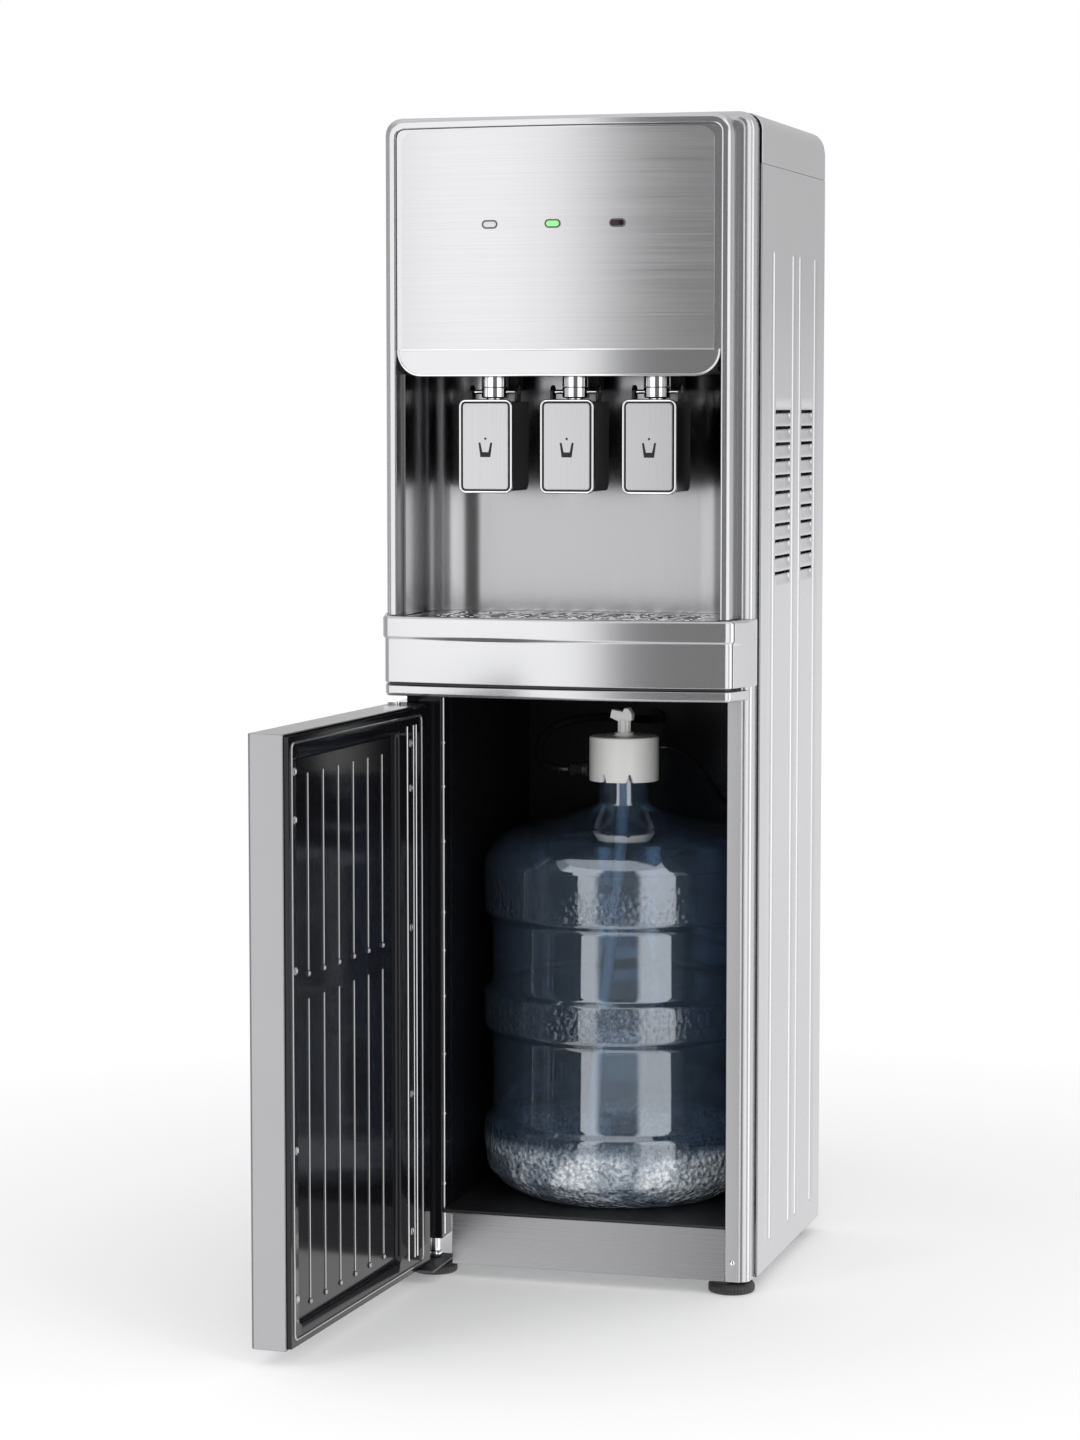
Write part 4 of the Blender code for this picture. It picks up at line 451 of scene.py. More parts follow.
BOTTLE_BLUE = ClearBlue("bottle_blue", (0.50, 0.66, 0.85), (0.54, 0.70, 0.88), (0.015, 0.03), coat=1.0,
                        specular=1.0)
CLEAR_LENS = Lens("clear_lens", (0.50, 0.50, 0.51), (0.60, 0.60, 0.61), (0.10, 0.16), slot="lens_clear",
                  specular=0.3)
GREEN_LENS = Lens("green_lens", (0.16, 0.50, 0.16), (0.22, 0.62, 0.20), (0.10, 0.16), slot="lens_green",
                  specular=0.3, glow=0.55)
DARK_LENS = Lens("dark_lens", (0.008, 0.005, 0.006), (0.030, 0.006, 0.010), (0.08, 0.14), slot="lens_dark",
                 specular=0.25)


# Stage


@dataclass
class Stage:
    """Floor, world, softboxes, a studio wall for reflections, and the camera."""

    focal: float = 91.84
    sensor: float = 36.0
    camera_at: Point = (0.89462, -3.29574, 0.79357)
    yaw: float = 0.28359
    pitch: float = 0.08529
    floor_half: float = 60.0
    floor_pale: float = 0.92
    floor_lift: float = 0.16
    floor_fade: Span = (0.42, 1.15)
    plain_level: float = 0.75
    lamps: tuple[tuple[str, float, float, float, float], ...] = (
        ("lamp_left", -36.0, 0.9, 1.5, 2.1), ("lamp_right", 50.0, 1.1, 1.5, 2.1), ("lamp_low", 10.0, 0.8, 6.0, 0.9))
    lamp_distance: float = 2.3
    lamp_low: float = 0.03
    wall_radius: float = 1.25
    wall_low: float = -1.0
    wall_top: float = 1.9
    wall_dark: float = 0.17
    wall_rest: float = 0.55
    wall_soft: float = 6.0
    wall_shaded: tuple[float, float, float] = (0.55, 0.95, 0.66)
    wall_behind: Span = (90.0, 110.0)
    gap: Span = (-4.0, 28.0)
    windows: tuple[tuple[float, float, float], ...] = (
        (-44.0, -6.0, 1.60), (28.0, 64.0, 1.60), (64.0, 84.0, 0.80), (84.0, 112.0, 2.20),
        (112.0, 200.0, 1.05), (200.0, 262.0, 0.90))

    def build(self) -> None:
        """Makes everything that isn't the object."""
        self.make_camera()
        self.make_world()
        self.make_floor()
        for lamp in self.lamps:
            self.softbox(*lamp)
        self.make_wall()
        bpy.context.scene.view_settings.view_transform = "Standard"

    def make_camera(self) -> None:
        """The camera, from its place, heading and downward tilt."""
        data = bpy.data.cameras.new("camera")
        data.lens, data.sensor_width = self.focal, self.sensor
        camera = linked("camera", data)
        level = math.cos(self.pitch)
        right = Vector((math.cos(self.yaw), math.sin(self.yaw), 0))
        ahead = Vector((-math.sin(self.yaw) * level, math.cos(self.yaw) * level, -math.sin(self.pitch)))
        turn = Matrix((right, right.cross(ahead), -ahead)).transposed()
        camera.matrix_world = Matrix.Translation(self.camera_at) @ turn.to_4x4()
        bpy.context.scene.camera = camera

    def make_world(self) -> None:
        """A pale world that shows as white to the camera and in metal and glass."""
        world = bpy.context.scene.world = bpy.data.worlds.new("world")
        nodes = Nodes(world)
        rays = nodes.add("LightPath").outputs
        seen = nodes.fill(nodes.add("Math", operation="MAXIMUM"), rays["Is Camera Ray"], rays["Is Glossy Ray"])
        every = nodes.fill(nodes.add("Math", operation="MAXIMUM"), seen, rays["Is Transmission Ray"])
        plain, white = (nodes.make("Background", WHITE, level) for level in (self.plain_level, 1.0))
        nodes.make("OutputWorld", nodes.make("MixShader", every, plain, white))

    def make_floor(self) -> None:
        """A plain pale floor that takes the object's shadow and runs out into white."""
        mesh = bpy.data.meshes.new("floor")
        corners = np.array([(-1, -1, 0), (1, -1, 0), (1, 1, 0), (-1, 1, 0)]) * self.floor_half
        mesh.from_pydata(corners, [], [(0, 1, 2, 3)])
        material = bpy.data.materials.new("floor_pale")
        mesh.materials.append(material)
        nodes = Nodes(material)
        near = nodes.make("BsdfDiffuse", (*(self.floor_pale,) * 3, 1))
        lift, far = (nodes.make("Emission", WHITE, level) for level in (self.floor_lift, 1.0))
        away = nodes.add("VectorMath", operation="LENGTH")
        nodes.fill(away, nodes.place((1, 1, 1)))
        share = nodes.spread(away.outputs["Value"], 0, 1, *self.floor_fade)
        both = nodes.make("AddShader", near, lift)
        nodes.make("OutputMaterial", nodes.make("MixShader", share, both, far))
        floor = linked("floor", mesh)
        floor.visible_glossy = False

    def make_wall(self) -> None:
        """A round studio wall that only gloss and glass see.

        Its brightness is a smooth step of azimuth at each window's edge, and falls with height behind the object.
        """
        degrees = np.arange(-100.0, 260.0, 1.0)

        def within(start: float, end: float) -> Array:
            """1 between two azimuths and 0 outside them."""
            away = np.abs((degrees - (start + end) / 2 + 180) % 360 - 180)
            half = (end - start) / 2
            return 1 - blend_in(away, half - self.wall_soft / 2, half + self.wall_soft / 2)

        level = np.full(degrees.shape, self.wall_rest)
        for start, end, bright in ((*self.gap, self.wall_dark), *self.windows):
            level += (bright - level) * within(start, end)
        turn = np.radians(degrees)
        x, y = self.wall_radius * np.sin(turn), -self.wall_radius * np.cos(turn)
        low, high, share = self.wall_shaded
        heights = np.array([self.wall_low, low, high, self.wall_top])
        shade = 1 - (1 - share) * blend_in(heights, low, high)[:, None] * blend_in(degrees, *self.wall_behind)
        patch = Patch(np.stack([in_plan(x, y, z) for z in heights]), capped=False)
        mesh = bpy.data.meshes.new("wall")
        mesh.from_pydata(patch.grid.reshape(-1, 3), [], patch.faces(0))
        glow = mesh.attributes.new("glow", "FLOAT", "POINT")
        glow.data.foreach_set("value", (level * shade).ravel().astype(np.float32))
        material = bpy.data.materials.new("wall_windows")
        mesh.materials.append(material)
        nodes = Nodes(material)
        strength = nodes.add("Attribute", attribute_name="glow").outputs["Fac"]
        nodes.make("OutputMaterial", nodes.make("Emission", WHITE, strength))
        wall = linked("wall", mesh)
        wall.visible_camera = wall.visible_diffuse = wall.visible_shadow = False

    def softbox(self, name: str, azimuth: float, width: float, level: float, top: float) -> None:
        """An upright rectangular lamp that faces the object.

        Args:
            name: the lamp's name.
            azimuth: degrees to the right of the front.
            width: metres across.
            level: its brightness, where 1 is white.
            top: its upper edge.
        """
        data = bpy.data.lights.new(name, "AREA")
        data.shape = "RECTANGLE"
        data.size, data.size_y = width, top - self.lamp_low
        data.energy = level * math.pi * data.size * data.size_y
        lamp = linked(name, data)
        turn, away = math.radians(azimuth), self.lamp_distance
        lamp.location = (math.sin(turn) * away, -math.cos(turn) * away, (top + self.lamp_low) / 2)
        lamp.rotation_euler = (math.pi / 2, 0, turn)
        lamp.visible_camera = lamp.visible_glossy = False


# Shapes as arrays


def in_plan(u: Array, v: Array, w: Array) -> Array:
    """Points of a plan outline (u, v) at height w."""
    return np.stack(np.broadcast_arrays(u, v, w), axis=-1)


def in_front(u: Array, v: Array, w: Array) -> Array:
    """Points of a front outline (u, v) at the world Y w."""
    return np.stack(np.broadcast_arrays(u, w, v), axis=-1)


def in_side(u: Array, v: Array, w: Array) -> Array:
    """Points of a side outline (u, v) at the world X w."""
    return np.stack(np.broadcast_arrays(w, u, v), axis=-1)


@dataclass
class Patch:
    """A grid of points: rows by columns, closed round its columns, its rows or at its ends."""

    grid: Array
    round: bool = True
    ring: bool = False
    capped: bool = True

    def faces(self, start: int) -> list[Sequence[int]]:
        """The patch's quads and end caps.

        Args:
            start: the index of its first point.

        Returns:
            The faces as rows of point indices.
        """
        rows, columns = self.grid.shape[:2]
        down = np.arange(rows if self.ring else rows - 1)
        across = np.arange(columns if self.round else columns - 1)
        a, b = np.meshgrid(down, across, indexing="ij")
        c, d = (a + 1) % rows, (b + 1) % columns
        quads = np.stack([a * columns + b, c * columns + b, c * columns + d, a * columns + d], axis=-1)
        faces = (quads.reshape(-1, 4) + start).tolist()
        if self.capped and not self.ring:
            first = np.arange(columns) + start
            faces += [first.tolist(), (first + (rows - 1) * columns)[::-1].tolist()]
        return faces


def arc(centre: Sequence[float], radius: float, start: float, end: float, steps: int = 12) -> Array:
    """Points of an arc: the centre plus the radius times (cos, sin) of evenly spaced angles.

    Args:
        centre: its centre in the plane.
        radius: its radius.
        start: first angle in degrees.
        end: last angle in degrees.
        steps: spaces between points.

    Returns:
        The points, both ends included.
    """
    angles = np.radians(np.linspace(start, end, steps + 1))
    return np.asarray(centre) + radius * np.stack([np.cos(angles), np.sin(angles)], axis=-1)


def rounded(left: float, right: float, low: float, high: float, radius: float, steps: int = 8) -> Array:
    """A rectangle's outline, anticlockwise, whose four corners are quarter circles.

    Args:
        left: its left side.
        right: its right side.
        low: its lower side.
        high: its upper side.
        radius: the corners' radius.
        steps: spaces in each corner.

    Returns:
        The closed outline's points.
    """
    left, right, low, high = left + radius, right - radius, low + radius, high - radius
    corners = ((right, high, 0), (left, high, 90), (left, low, 180), (right, low, 270))
    return np.vstack([arc((x, y), radius, turn, turn + 90, steps) for x, y, turn in corners])


def inset(outline: Array, distance: float, closed: bool = True) -> Array:
    """An outline moved to its left by a distance: each point along the sum of its two edges' normals, mitred.

    Args:
        outline: the points, anticlockwise where it is closed.
        distance: how far it moves.
        closed: whether the last point joins the first.

    Returns:
        The moved outline.
    """
    step = np.roll(outline, -1, axis=0) - outline if closed else np.diff(outline, axis=0)
    normal = np.stack([-step[:, 1], step[:, 0]], axis=-1) / np.linalg.norm(step, axis=1, keepdims=True)
    before = np.roll(normal, 1, axis=0) if closed else np.vstack([normal[:1], normal])
    both = before + (normal if closed else np.vstack([normal, normal[-1:]]))
    return outline + both * (2 * distance / np.sum(both**2, axis=1, keepdims=True))


def softened(line: Array, cut: float, rounds: int = 3) -> Array:
    """An open line whose corners are cut again and again, each cut a third as long as the last.

    Args:
        line: the points.
        cut: length of the first cut along each edge, at most three tenths of it.
        rounds: how often.

    Returns:
        The softer line with the same ends.
    """
    for number in range(rounds):
        step = np.diff(line, axis=0)
        share = np.minimum(0.3, cut / 3**number / np.linalg.norm(step, axis=1))[:, None]
        pairs = np.stack([line[:-1] + step * share, line[1:] - step * share], axis=1)
        line = np.vstack([line[:1], pairs.reshape(-1, line.shape[1]), line[-1:]])
    return line


def plate(outline: Array, back: float, front: float, edge: float, steps: int = 3) -> Patch:
    """A flat plate: its outline at the back level, then a quarter round of insets up to the front level.

    Args:
        outline: the closed outline, anticlockwise.
        back: world Y of its back.
        front: world Y of its front.
        edge: radius of the front's edge.
        steps: steps of the round.

    Returns:
        The patch.
    """
    away = math.copysign(edge, back - front)
    rows = [in_front(*outline.T, back)]
    for turn in np.linspace(0, math.pi / 2, steps + 1):
        moved = inset(outline, edge * (1 - math.cos(turn))) if turn else outline
        rows.append(in_front(*moved.T, front + away * (1 - math.sin(turn))))
    rows.append(in_front(*inset(outline, 1.5 * edge).T, front))
    return Patch(np.stack(rows))


def turned(profile: Array, centre: Point, put: Put = in_plan, segments: int = 64, ring: bool = False) -> Patch:
    """A turned surface: each (radius, height) of the profile times (cos, sin) of the angle round the axis.

    Args:
        profile: rows of radius and height.
        centre: where the axis starts.
        put: how the circle's plane and the axis become points.
        segments: points in each circle.
        ring: whether the profile's last point joins its first.

    Returns:
        The patch.
    """
    angles = np.arange(segments) * math.tau / segments
    radius, height = np.asarray(profile)[:, 0:1], np.asarray(profile)[:, 1:2]
    grid = put(radius * np.cos(angles), radius * np.sin(angles), height + 0 * angles) + np.asarray(centre)
    return Patch(grid, ring=ring, capped=False)


def tube(path: Array, radius: float, sides: int = 12, reference: Point = ALONG_Y, closed: bool = False) -> Patch:
    """A tube: circles square to the path's tangent, with their zero along the tangent's cross with a reference.

    Args:
        path: the centre line.
        radius: the circles' radius.
        sides: points in each circle.
        reference: a direction that the path never follows.
        closed: whether the path's end joins its start.

    Returns:
        The patch.
    """
    path = np.asarray(path, float)
    run = np.roll(path, -1, axis=0) - np.roll(path, 1, axis=0) if closed else np.gradient(path, axis=0)
    tangent = run / np.linalg.norm(run, axis=1, keepdims=True)
    side = np.cross(tangent, reference)
    side /= np.linalg.norm(side, axis=1, keepdims=True)
    up = np.cross(side, tangent)
    angles = np.arange(sides) * math.tau / sides
    circle = np.cos(angles)[None, :, None] * side[:, None] + np.sin(angles)[None, :, None] * up[:, None]
    return Patch(path[:, None] + radius * circle, ring=closed)


def smooth_line(points: Sequence[Point], steps: int = 10) -> Array:
    """A smooth line through points: on each span a cubic whose end slopes are half the way past its neighbours.

    Args:
        points: the route's own points.
        steps: points on each span.

    Returns:
        The fine points.
    """
    line = np.asarray(points, float)
    line = np.vstack([line[:1], line, line[-1:]])
    a, b, c, d = line[:-3], line[1:-2], line[2:-1], line[3:]
    t = (np.arange(steps) / steps)[:, None, None]
    curve = b + ((c - a) * t + (2 * a - 5 * b + 4 * c - d) * t**2 + (3 * b - a - 3 * c + d) * t**3) / 2
    return np.vstack([curve.transpose(1, 0, 2).reshape(-1, 3), line[-1:]])


def blend_in(value: Array, start: float, end: float) -> Array:
    """0 before start, 1 after end, and three squares less two cubes between them."""
    part = np.clip((value - start) / (end - start), 0, 1)
    return part * part * (3 - 2 * part)


def bowed(x: Array, front: float) -> Array:
    """World Y of a bowed front at each place across: a parabola that falls by its rise at the bezel's side."""
    return front + BOW_RISE * (x / BOW_HALF) ** 2


def joined(name: str, patches: Sequence[Patch]) -> bpy.types.Mesh:
    """One mesh from patches, merged at seams and poles and faced outwards.

    Args:
        name: its name.
        patches: its closed surfaces.

    Returns:
        The mesh.
    """
    faces, count = [], 0
    for patch in patches:
        faces += patch.faces(count)
        count += patch.grid[..., 0].size
    mesh = bpy.data.meshes.new(name)
    mesh.from_pydata(np.vstack([patch.grid.reshape(-1, 3) for patch in patches]), [], faces)
    work = bmesh.new()
    work.from_mesh(mesh)
    bmesh.ops.remove_doubles(work, verts=work.verts, dist=SAME_POINT)
    bmesh.ops.recalc_face_normals(work, faces=work.faces)
    work.to_mesh(mesh)
    work.free()
    return mesh


def make_piece(name: str, shape: Sequence[Patch] | bpy.types.Mesh, finish: Finish, node: str = "",
               body: str = "cabinet", shade: Shade = Shade.SOFT) -> bpy.types.Object:
    """One finished piece of the object, riding on its body.

    Args:
        name: its name.
        shape: its closed surfaces, or its mesh, already in place.
        finish: its finish.
        node: the CAD node that it stands for, where there is one.
        body: the body that carries it, or none for a piece on no body.
        shade: how its edges are shaded.

    Returns:
        The object.
    """
    mesh = shape if isinstance(shape, bpy.types.Mesh) else joined(name, shape)
    mesh.materials.append(finish.build())
    mesh.shade_smooth()
    if shade is not Shade.ROUND:
        mesh.set_sharp_from_angle(angle=math.radians(shade.value))
    piece = linked(name, mesh)
    if body:
        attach(piece, body)
    if node:
        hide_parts(node)
    LOG.info("%s on %s, %d faces", name, body or "two bodies", len(mesh.polygons))
    return piece


# Sub-assemblies


@dataclass
class Assembly:
    """A sub-assembly. A node whose shape is right is carried over: a merged copy with soft edges stands for it."""

    bevel_from: float = math.radians(35)
    bow_reach: float = math.radians(1.8)

    def dress(self, node: str, finish: Finish, bevel: float = 0.0006, follows_bow: bool = False,
              slot: str = "") -> None:
        """Puts a merged copy in the place of one node.

        Args:
            node: the CAD node's name.
            finish: its finish.
            bevel: width of its soft edges.
            follows_bow: whether its front follows the cabinet's bow.
            slot: the record's material slot, where it isn't the finish's usual one; not used.
        """
        source = frame["nodes"][node]
        mesh = source.data.copy()
        mesh.name = node + "_skin"
        for name in ("custom_normal", "sharp_edge", "sharp_face"):
            if name in mesh.attributes:
                mesh.attributes.remove(mesh.attributes[name])
        work = bmesh.new()
        work.from_mesh(mesh)
        bmesh.ops.remove_doubles(work, verts=work.verts, dist=SAME_CORNER)
        bmesh.ops.dissolve_limit(work, angle_limit=FLAT_ENOUGH, verts=work.verts, edges=work.edges)
        work.to_mesh(mesh)
        work.free()
        mesh.materials.clear()
        piece = make_piece(node + "_skin", mesh, finish, node, source["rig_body"], Shade.CRISP)
        soft = piece.modifiers.new("soft_edges", "BEVEL")
        soft.width, soft.segments = bevel, 2
        soft.limit_method, soft.angle_limit = "ANGLE", self.bevel_from
        piece.modifiers.new("even_shading", "WEIGHTED_NORMAL").keep_sharp = True
        if follows_bow:
            self.follow_bow(piece)

    def follow_bow(self, piece: bpy.types.Object) -> None:
        """Turns the normals on the bowed front to the parabola's own slope, so that its flat spans don't show.

        Args:
            piece: the piece, whose modifiers are applied first.
        """
        mesh = bpy.data.meshes.new_from_object(piece.evaluated_get(bpy.context.evaluated_depsgraph_get()))
        piece.modifiers.clear()
        piece.data = mesh
        mesh.name = piece.name
        face = np.repeat(read(mesh.polygons, "normal", 3), read(mesh.polygons, "loop_total", kind=np.int32), axis=0)
        place = read(mesh.vertices, "co", 3)[read(mesh.loops, "vertex_index", kind=np.int32)]
        slope = 2 * BOW_RISE * place[:, 0] / BOW_HALF**2
        wanted = np.stack([slope, np.full(len(slope), -1.0), np.zeros(len(slope))], axis=-1)
        wanted /= np.linalg.norm(wanted, axis=1)[:, None]
        near = np.sum(wanted * face, axis=1) > math.cos(self.bow_reach)
        normal = read(mesh.corner_normals, "vector", 3)
        mesh.normals_split_custom_set(np.where(near[:, None], wanted, normal).tolist())


@dataclass
class Cabinet(Assembly):
    """Frame, sheet-metal shell, base and feet."""

    groove_places: tuple[float, ...] = (0.0755, 0.1545, 0.1835, 0.2495)
    groove_low: float = 0.0340
    groove_top: float = 0.9320
    groove_reach: float = 0.0038
    press_depth: float = 0.0020
    louvre_low: float = 0.6320
    louvre_pitch: float = 0.01455
    louvre_count: int = 11
    louvre_margin: float = 0.0080
    louvre_flap: float = 0.0098
    louvre_slot: float = 0.0026
    louvre_lip: float = 0.0004
    louvre_end: float = 0.0035
    sheet: float = 0.0008
    flange: float = 0.0024
    rim_line: float = 0.0010
    foot_grooves: int = 40
    foot_groove: float = 0.0007
    screw_heights: tuple[float, ...] = (0.035, 0.30, 0.52, 0.78, 0.99)
    screw_margin: float = 0.009
    post_screw: tuple[float, float, float] = (0.0145, 0.030, 0.7)

    def build(self) -> None:
        """Makes every outer piece of the cabinet."""
        self.dress("front_frame", SILVER_PAINT, 0.0005)
        self.dress("top_cover", SILVER_PAINT)
        self.side_panel("side_panel_left", -1)
        self.side_panel("side_panel_right", 1)
        # The kick plate's darker brushed steel is painted shade
        for node, finish in (("back_panel", GALVANISED), ("base_pan", GALVANISED), ("kick_plate", SHADED_BRUSHED_KICK),
                             ("lower_hinge", DARK_PAINT), ("upper_hinge", CHROME)):
            self.dress(node, finish)
        self.feet()
        self.screws()

    def groove_height(self, depth: Array, height: Array) -> Array:
        """The sheet's height over its deepest pressing, from 0 in a groove's middle to 1 outside.

        The distance to each groove's middle line, past its rounded ends, is put through a raised cosine.

        Args:
            depth: depths of the grid's points.
            height: heights of the grid's points.

        Returns:
            The share of the pressing's depth.
        """
        share = np.ones(np.broadcast_shapes(depth.shape, height.shape))
        middle, half = (self.groove_low + self.groove_top) / 2, (self.groove_top - self.groove_low) / 2
        past = np.maximum(np.abs(height - middle) - half + self.groove_reach, 0)
        for place in self.groove_places:
            away = np.clip(np.hypot(depth - place, past) / self.groove_reach, 0, 1)
            share = np.minimum(share, 0.5 - 0.5 * np.cos(math.pi * away))
        return share

    def louvre_spans(self) -> list[Span]:
        """First and last depth of each column of louvres, between two grooves."""
        places = np.reshape(self.groove_places, (-1, 2))
        return [(start + self.louvre_margin, end - self.louvre_margin) for start, end in places]

    def lines(self) -> tuple[Array, Array]:
        """Grid lines that crowd where the sheet bends.

        Returns:
            Depths and heights, each sorted.
        """
        low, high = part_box("side_panel_right")
        front, back = low.y - FRONT_Y, high.y - FRONT_Y
        crowd = np.linspace(-self.groove_reach, self.groove_reach, 11)
        wall = np.linspace(0, self.louvre_end, 5)
        rim = np.array([-self.rim_line, self.rim_line])
        depths = [np.linspace(front, back, 12), np.array([front, back]) - rim]
        depths += [place + crowd for place in self.groove_places]
        for first, last in self.louvre_spans():
            depths += [first + wall, last - wall]
        base = self.louvre_low + np.arange(self.louvre_count)[:, None] * self.louvre_pitch
        steps = [*np.linspace(0, self.louvre_flap, 6), -self.louvre_lip, self.louvre_flap + self.louvre_slot]
        heights = [np.linspace(low.z, high.z, 40), np.array([low.z, high.z]) - rim, (base + steps).ravel(),
                   self.groove_low + self.groove_reach + crowd, self.groove_top - self.groove_reach + crowd]
        return np.unique(np.concatenate(depths).round(5)), np.unique(np.concatenate(heights).round(5))

    def side_panel(self, node: str, side: int) -> None:
        """A pressed sheet with grooves and louvres: each flap sinks by a quarter sine up to an open slot.

        Args:
            node: the CAD node that it stands for.
            side: -1 for left, 1 for right.
        """
        depths, heights = self.lines()
        y, z = np.meshgrid(depths, heights, indexing="ij")
        part = (z - self.louvre_low) / self.louvre_pitch
        number = np.floor(part + 1e-6)
        along = (part - number) * self.louvre_pitch / self.louvre_flap
        within = (number >= 0) & (number < self.louvre_count) & (along <= 1.001)
        end = self.louvre_end
        across = sum(blend_in(y, first, first + end) * (1 - blend_in(y, last - end, last))
                     for first, last in self.louvre_spans())
        sunk = np.where(within, np.sin(along * math.pi / 2) * across, 0)
        share = np.minimum(self.groove_height(y, z), 1 - sunk)
        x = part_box(node)[side > 0].x - side * self.press_depth * (1 - share)
        sheet = np.stack([x, y + FRONT_Y, z], axis=-1)
        flange = (-side * self.flange, 0, 0)
        patch = Patch(np.concatenate([sheet[:1] + flange, sheet, sheet[-1:] + flange]), round=False, capped=False)
        faces = np.array(patch.faces(0)).reshape(len(depths) + 1, len(heights) - 1, 4)
        middle_y = (depths[:-1] + depths[1:])[:, None] / 2
        slot = ((heights[:-1] + heights[1:])[None, :] / 2 - self.louvre_low) / self.louvre_pitch
        step = (slot - np.floor(slot)) * self.louvre_pitch
        hole = (slot > 0) & (slot < self.louvre_count) & (step > self.louvre_flap)
        hole &= step < self.louvre_flap + self.louvre_slot
        inside = sum((middle_y > first) & (middle_y < last) for first, last in self.louvre_spans()) > 0
        kept = faces[~np.pad(hole & inside, ((1, 1), (0, 0)))]
        if side < 0:
            kept = kept[:, ::-1]
        mesh = bpy.data.meshes.new(node + "_sheet")
        mesh.from_pydata(patch.grid.reshape(-1, 3), [], kept.tolist())
        piece = make_piece(node + "_sheet", mesh, SILVER_PAINT, node)
        wall = piece.modifiers.new("sheet", "SOLIDIFY")
        wall.thickness, wall.offset = self.sheet, -1

    def feet(self) -> None:
        """Rubber feet: turned discs whose rims are fluted by a cosine round them, and a bright sleeve on one stud."""
        for node in ("foot_front_left", "foot_front_right", "foot_rear_left", "foot_rear_right"):
            low, high, (x, y, _) = box_of(node)
            radius, top = (high.x - low.x) / 2, FOOT_TOP
            line = softened(np.array([(0, 0), (radius - 0.0015, 0), (radius, 0.0015), (radius, top - 0.003),
                                      (radius - 0.003, top), (0.0042, top), (0.0040, top + 0.0002),
                                      (0.0040, high.z), (0, high.z)]), 0.0008, 2)
            patch = turned(line, (x, y, low.z), segments=4 * self.foot_grooves)
            out = patch.grid[..., :2] - (x, y)
            reach = np.linalg.norm(out, axis=-1, keepdims=True)
            turn = np.arctan2(out[..., 1:2], out[..., 0:1])
            flute = self.foot_groove * (0.5 + 0.5 * np.cos(self.foot_grooves * turn)) * (reach > 0.9 * radius)
            patch.grid[..., :2] = (x, y) + out * (1 - flute / np.maximum(reach, 1e-9))
            make_piece(node + "_ribbed", [patch], RUBBER, node)
        sleeve = [(0.0041, 0.0138), (0.0062, 0.0138), (0.0066, 0.0144), (0.0066, 0.0186), (0.0062, 0.0192),
                  (0.0050, 0.0196), (0.0050, 0.0338), (0.0041, 0.0338)]
        x, y, _ = box_of("foot_front_left")[2]
        make_piece("foot_stud_sleeve", [turned(sleeve, (x, y, 0), segments=48, ring=True)], CHROME)

    def screws(self) -> None:
        """Domed screw heads on the back panel's flanges and one at the foot of the right post."""
        dome = np.array([(0, -0.0012), (0.0016, -0.0011), (0.0030, -0.0006), (0.0034, 0.0), (0.0034, 0.0004),
                         (0, 0.0004)])
        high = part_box("back_panel")[1]
        heads = [turned(dome * (1, -1), (side * (high.x - self.screw_margin), high.y, z), in_front, 24)
                 for z in self.screw_heights for side in (-1, 1)]
        make_piece("back_screws", heads, CHROME)
        low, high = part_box("front_frame")
        inward, height, share = self.post_screw
        make_piece("post_screw", [turned(dome * share, (high.x - inward, low.y, height), in_front, 24)], CHROME)


